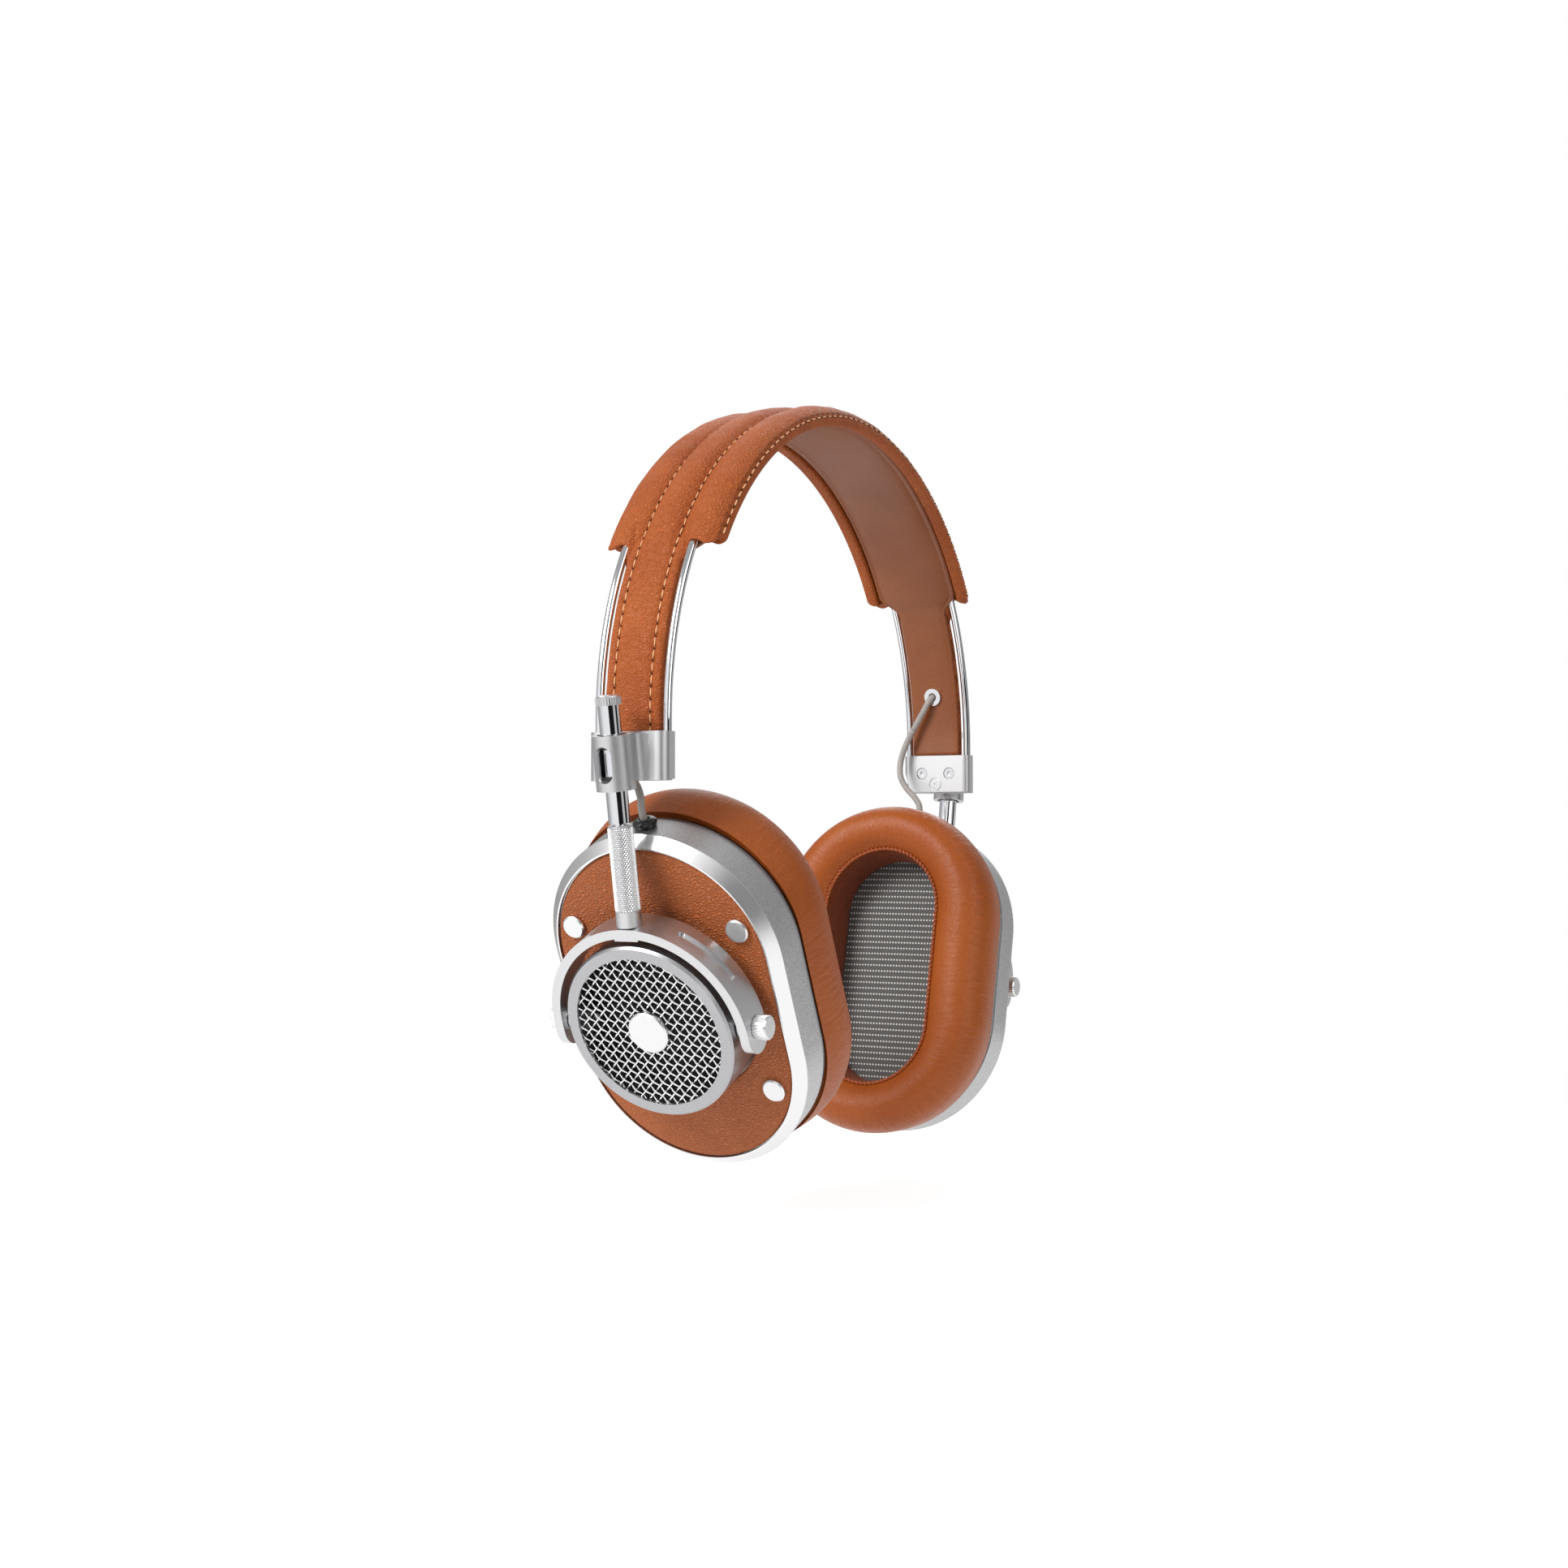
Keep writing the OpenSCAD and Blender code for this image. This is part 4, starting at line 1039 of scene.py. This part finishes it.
def knurlTree():
    # Four-sided points in staggered rows round a core; their feet meet, as a cut knurl's do
    tree, given = newTree("knurl", (("Radius", "Float"), ("Height", "Float"), ("Around", "Int"),
                          ("Rows", "Int"), ("Row Pitch", "Float"), ("Material", "Material")))
    total = addNode(tree, "ShaderNodeMath", {0: given["Around"], 1: given["Rows"]},
                    operation="MULTIPLY")
    points = addNode(tree, "GeometryNodePoints", {"Count": total})
    index = addNode(tree, "GeometryNodeInputIndex")
    quotient = addNode(tree, "ShaderNodeMath", {0: index, 1: given["Around"]}, operation="DIVIDE")
    row = addNode(tree, "ShaderNodeMath", {0: quotient}, operation="FLOOR")
    stagger = addNode(tree, "ShaderNodeMath", {1: 0.5, 0: row}, operation="MULTIPLY")
    shifted = addNode(tree, "ShaderNodeMath", {0: quotient, 1: row}, operation="SUBTRACT")
    perPoint = addNode(tree, "ShaderNodeMath", {0: stagger, 1: given["Around"]}, operation="DIVIDE")
    share = addNode(tree, "ShaderNodeMath", {0: shifted, 1: perPoint}, operation="ADD")
    angle = addNode(tree, "ShaderNodeMath", {1: 2 * math.pi, 0: share}, operation="MULTIPLY")
    cosine = addNode(tree, "ShaderNodeMath", {0: angle}, operation="COSINE")
    sine = addNode(tree, "ShaderNodeMath", {0: angle}, operation="SINE")
    x = addNode(tree, "ShaderNodeMath", {0: cosine, 1: given["Radius"]}, operation="MULTIPLY")
    y = addNode(tree, "ShaderNodeMath", {0: sine, 1: given["Radius"]}, operation="MULTIPLY")
    z = addNode(tree, "ShaderNodeMath", {0: row, 1: given["Row Pitch"]}, operation="MULTIPLY")
    spot = addNode(tree, "ShaderNodeCombineXYZ", {0: x, 1: y, 2: z})
    placed = addNode(tree, "GeometryNodeSetPosition", {"Geometry": points, "Position": spot})
    around = addNode(tree, "ShaderNodeMath", {0: math.pi, 1: given["Around"]}, operation="DIVIDE")
    halfWidth = addNode(tree, "ShaderNodeMath", {0: around, 1: given["Radius"]}, operation="MULTIPLY")
    cone = addNode(tree, "GeometryNodeMeshCone", {"Vertices": 4, "Radius Top": 0.3,
                    "Radius Bottom": 1.04, "Depth": 1})
    size = addNode(tree, "ShaderNodeCombineXYZ", {0: given["Row Pitch"], 1: halfWidth,
                    2: given["Height"]})
    sized = addNode(tree, "GeometryNodeTransform", {"Geometry": cone, "Scale": size})
    outward = addNode(tree, "GeometryNodeTransform", {"Rotation": (0, math.pi / 2, 0),
                       "Geometry": sized})
    euler = addNode(tree, "ShaderNodeCombineXYZ", {2: angle})
    turn = addNode(tree, "FunctionNodeEulerToRotation", {0: euler})
    grains = addNode(tree, "GeometryNodeInstanceOnPoints", {"Points": placed, "Instance": outward,
                      "Rotation": turn})
    finishTree(tree, grains, given["Material"])
    return tree


def turned(name, profile, place, material, steps=48):
    rings = [[place @ (Vector((r * math.cos(2 * math.pi * k / steps),
              r * math.sin(2 * math.pi * k / steps), z)) * mm) for k in range(steps)]
             for r, z in profile]
    piece = skin(name, rings, material)
    bevel = piece.modifiers.new("edges", "EDGE_SPLIT")
    bevel.split_angle = math.radians(35)
    return piece


def stems():
    tree = knurlTree()
    rows = int((knurl["top"] - knurl["foot"]) / knurl["row"])
    for side in sides:
        place = postMatrix(side)
        core = turned("stem_core_" + side, knurl["profile"], place, finish["knurl"])
        grains = grow("stem_knurl_" + side, tree, {
            "Radius": knurl["core"] * mm, "Height": (knurl["outer"] - knurl["core"]) * mm,
            "Around": knurl["around"], "Rows": rows, "Row Pitch": knurl["row"] * mm,
            "Material": finish["knurl"]})
        middle = (knurl["top"] + knurl["foot"] - (rows - 1) * knurl["row"]) / 2
        grains.data.transform(place @ Matrix.Translation((0, 0, middle * mm)))
        settle(core, "yoke_" + side, "stem_" + side)
        settle(grains, "yoke_" + side)


grommet = {"place": (0, 44.7, -6.6), "profile": [(0.95, -1.2), (2.2, -1.2), (2.25, 0.1), (2.75, 0.3),
           (2.95, 0.9), (2.85, 1.5), (2.4, 1.9), (1.6, 2), (1.15, 1.75), (0.95, 1.2)]}


def grommets():
    for side in sides:
        place = cupMatrix(side) @ Matrix.Translation(Vector(grommet["place"]) * mm)
        place = place @ Matrix.Rotation(-math.pi / 2, 4, "X")
        piece = turned("grommet_rubber_" + side, grommet["profile"], place, finish["rubber"], 32)
        settle(piece, "cup_" + side, "grommet_" + side)


def stitches():
    tree = beadTree()
    y, reach = band["edgeStitch"]
    rows = []
    for sign, place in ((1, "_front"), (-1, "_rear")):
        rows.append(("middle" + place, [
            bandPoint(along, sign * band["stitchLine"], 85.55 - 0.5 * padding(along))
            for along in stations(-band["legs"], 1)]))
        rows.append(("edge" + place, [bandPoint(along, sign * y, reach)
                                      for along in stations(band["wing"] + band["pitch"], 1)]))
    made = []
    for k, (name, path) in enumerate(rows):
        thread = {"Pitch": band["pitch"] * mm, "Length": 2.2 * mm, "Thickness": 0.4 * mm,
                  "Wobble": 0.07, "Seed": 5 + k, "Material": finish["thread"], "Lean": 0.06,
                  "Facing": (0, 0, 1), "Shift": 0}
        # the needle holes are short dark beads, painted shade between the stitches
        hole = dict(thread, Length=0.5 * mm, Thickness=0.42 * mm, Shift=band["pitch"] / 2 * mm,
                    Material=finish["hole"], Wobble=0)
        for kind, looks in (("stitches_", thread), ("stitch_hole_shade_", hole)):
            made.append((grow(kind + name, tree, looks, path), "headband", "cognac_leather"))
    for side in sides:
        hole = stadium(*pad["hole"], pad["arcSteps"], pad["sideSteps"])
        rim = stadium(*pad["rim"], pad["arcSteps"], pad["sideSteps"])
        share, height = pad["seam"]
        path = [cupMatrix(side) @ (Vector((a[0] + (b[0] - a[0]) * share, a[1] + (b[1] - a[1]) * share,
                height - 0.5)) * mm) for a, b in zip(hole, rim)]
        path.append(path[0])
        facing = cupMatrix(side).col[2].to_3d()
        looks = {"Pitch": pad["seamPitch"] * mm, "Length": 1.5 * mm, "Thickness": 0.55 * mm,
                 "Wobble": 0.35, "Seed": 11, "Material": finish["seamThread"], "Lean": 1.2,
                 "Facing": tuple(facing), "Shift": 0}
        made.append((grow("pad_seam_" + side, tree, looks, path), "pad_" + side, "pad_leather"))
    for piece, body, slot in made:
        piece.data.shade_smooth()
        settle(piece, body)


grilles()
stems()
grommets()
stitches()
print("woven grilles, knurled stems and stitches made")


# finishes of the CAD nodes

nodeFinish = {
    "band_rod_front": "chrome", "band_rod_rear": "chrome", "band_cable": "jacket",
    "eyelets": "chrome", "bracket_screws": "chrome", "post_bushes": "plastic",
    "mute_button": "turned", "mute_switch": "plastic",
}
sideFinish = {
    "bracket_outer": "blasted", "bracket_inner": "blasted", "post": "chrome",
    "post_cap": "turned", "yoke": "blasted", "pivot_screws": "turned", "pivot_washers": "turned",
    "cup_housing": "cut_", "rivets": "turned", "ring_housing": "blastedRing", "badge": "turned",
    "damper": "felt", "baffle": "cut_", "driver": "magnet", "diaphragm": "film",
    "jack_socket": "plastic", "pad_plate": "plastic",
}


def coatNodes():
    for side in sides:
        for part, coat in sideFinish.items():
            nodeFinish[part + "_" + side] = coat + side if coat.endswith("_") else coat
    for name, coat in nodeFinish.items():
        data = nodes[name].data
        data.materials.clear()
        data.materials.append(finish[coat])


coatNodes()
print("CAD nodes finished")


# stage

stage = {
    "floorDrop": 10,        # the floor lies this far below the cups, which slide down by 6.5
    "floorRadius": 0.32,    # metres
    "walls": ((-179, 0.5), (-120, 0.35), (-80, 0.45), (-40, 0.95), (24, 1), (29, 0.01), (74, 0.01),
              (80, 0.55), (98, 0.6), (103, 0.02), (122, 0.02), (128, 0.5), (152, 0.55), (179, 0.5)),
    "softboxes": (          # name, place, width, height, power, as metres and watts
        ("key", (1.1, -0.5, 0.7), 0.5, 0.6, 19),
        ("front", (0.5, 1.2, 0.5), 0.8, 1.0, 6),
        ("back", (-0.9, -0.3, 0.6), 0.8, 0.8, 3.5),
        ("top", (-0.1, 0.25, 1.3), 0.8, 0.8, 1.5),
    ),
}


def makeStage():
    low, high = cadBox
    data = bpy.data.meshes.new("floor")
    reach = stage["floorRadius"]
    height = low.z - stage["floorDrop"] * mm
    turns = [2 * math.pi * k / 64 for k in range(64)]
    data.from_pydata([(reach * math.cos(t), reach * math.sin(t), height) for t in turns], [],
                     [range(64)])
    floor = bpy.data.objects.new("floor", data)
    scene.collection.objects.link(floor)
    matt = newMaterial("paleFloor", "#A0A0A0", {
        "Roughness": 0.9, "Specular IOR Level": 0.1,
        "Emission Color": (1, 1, 1, 1), "Emission Strength": 0.8})[0]
    data.materials.append(matt)
    aim = (low + high) / 2
    for name, place, width, tall, power in stage["softboxes"]:
        lamp = bpy.data.lights.new(name, "AREA")
        lamp.shape = "RECTANGLE"
        lamp.size = width
        lamp.size_y = tall
        lamp.energy = power
        box = bpy.data.objects.new(name, lamp)
        box.location = place
        box.rotation_euler = (aim - Vector(place)).to_track_quat("-Z", "Y").to_euler()
        scene.collection.objects.link(box)


def makeWorld():
    # Seen directly it is plain white; as light it is a studio of white walls and black flags,
    # which give the chrome its bands. Its brightness goes by the bearing from the object.
    world = bpy.data.worlds.new("studio")
    world.use_nodes = True
    scene.world = world
    tree = world.node_tree
    shader = tree.nodes["Background"]
    place = addNode(tree, "ShaderNodeTexCoord").outputs["Generated"]
    parts = addNode(tree, "ShaderNodeSeparateXYZ", {0: place})
    bearing = addNode(tree, "ShaderNodeMath", {0: parts.outputs[1], 1: parts.outputs[0]},
                      operation="ARCTAN2")
    share = addNode(tree, "ShaderNodeMapRange", {"From Min": -math.pi, "From Max": math.pi,
                     "Value": bearing})
    walls = addNode(tree, "ShaderNodeValToRGB", {0: share})
    ramp = walls.color_ramp
    for degrees, level in stage["walls"]:
        stop = ramp.elements.new((degrees + 180) / 360)
        stop.color = (level, level, level, 1)
    ramp.elements.remove(ramp.elements[0])
    ramp.elements.remove(ramp.elements[-1])
    ceiling = addNode(tree, "ShaderNodeMapRange", {"From Min": 0.45, "From Max": 0.8,
                       "Value": parts.outputs[2]}, interpolation_type="SMOOTHSTEP")
    studio = addNode(tree, "ShaderNodeMix", {7: (0.42, 0.42, 0.42, 1), 0: ceiling,
                      6: walls.outputs["Color"]}, data_type="RGBA")
    seen = addNode(tree, "ShaderNodeLightPath").outputs["Is Camera Ray"]
    shown = addNode(tree, "ShaderNodeMix", {7: (1, 1, 1, 1), 0: seen, 6: studio.outputs[2]},
                    data_type="RGBA")
    tree.links.new(shown.outputs[2], shader.inputs["Color"])


makeStage()
makeWorld()
scene.view_settings.view_transform = "Standard"
print("stage set")
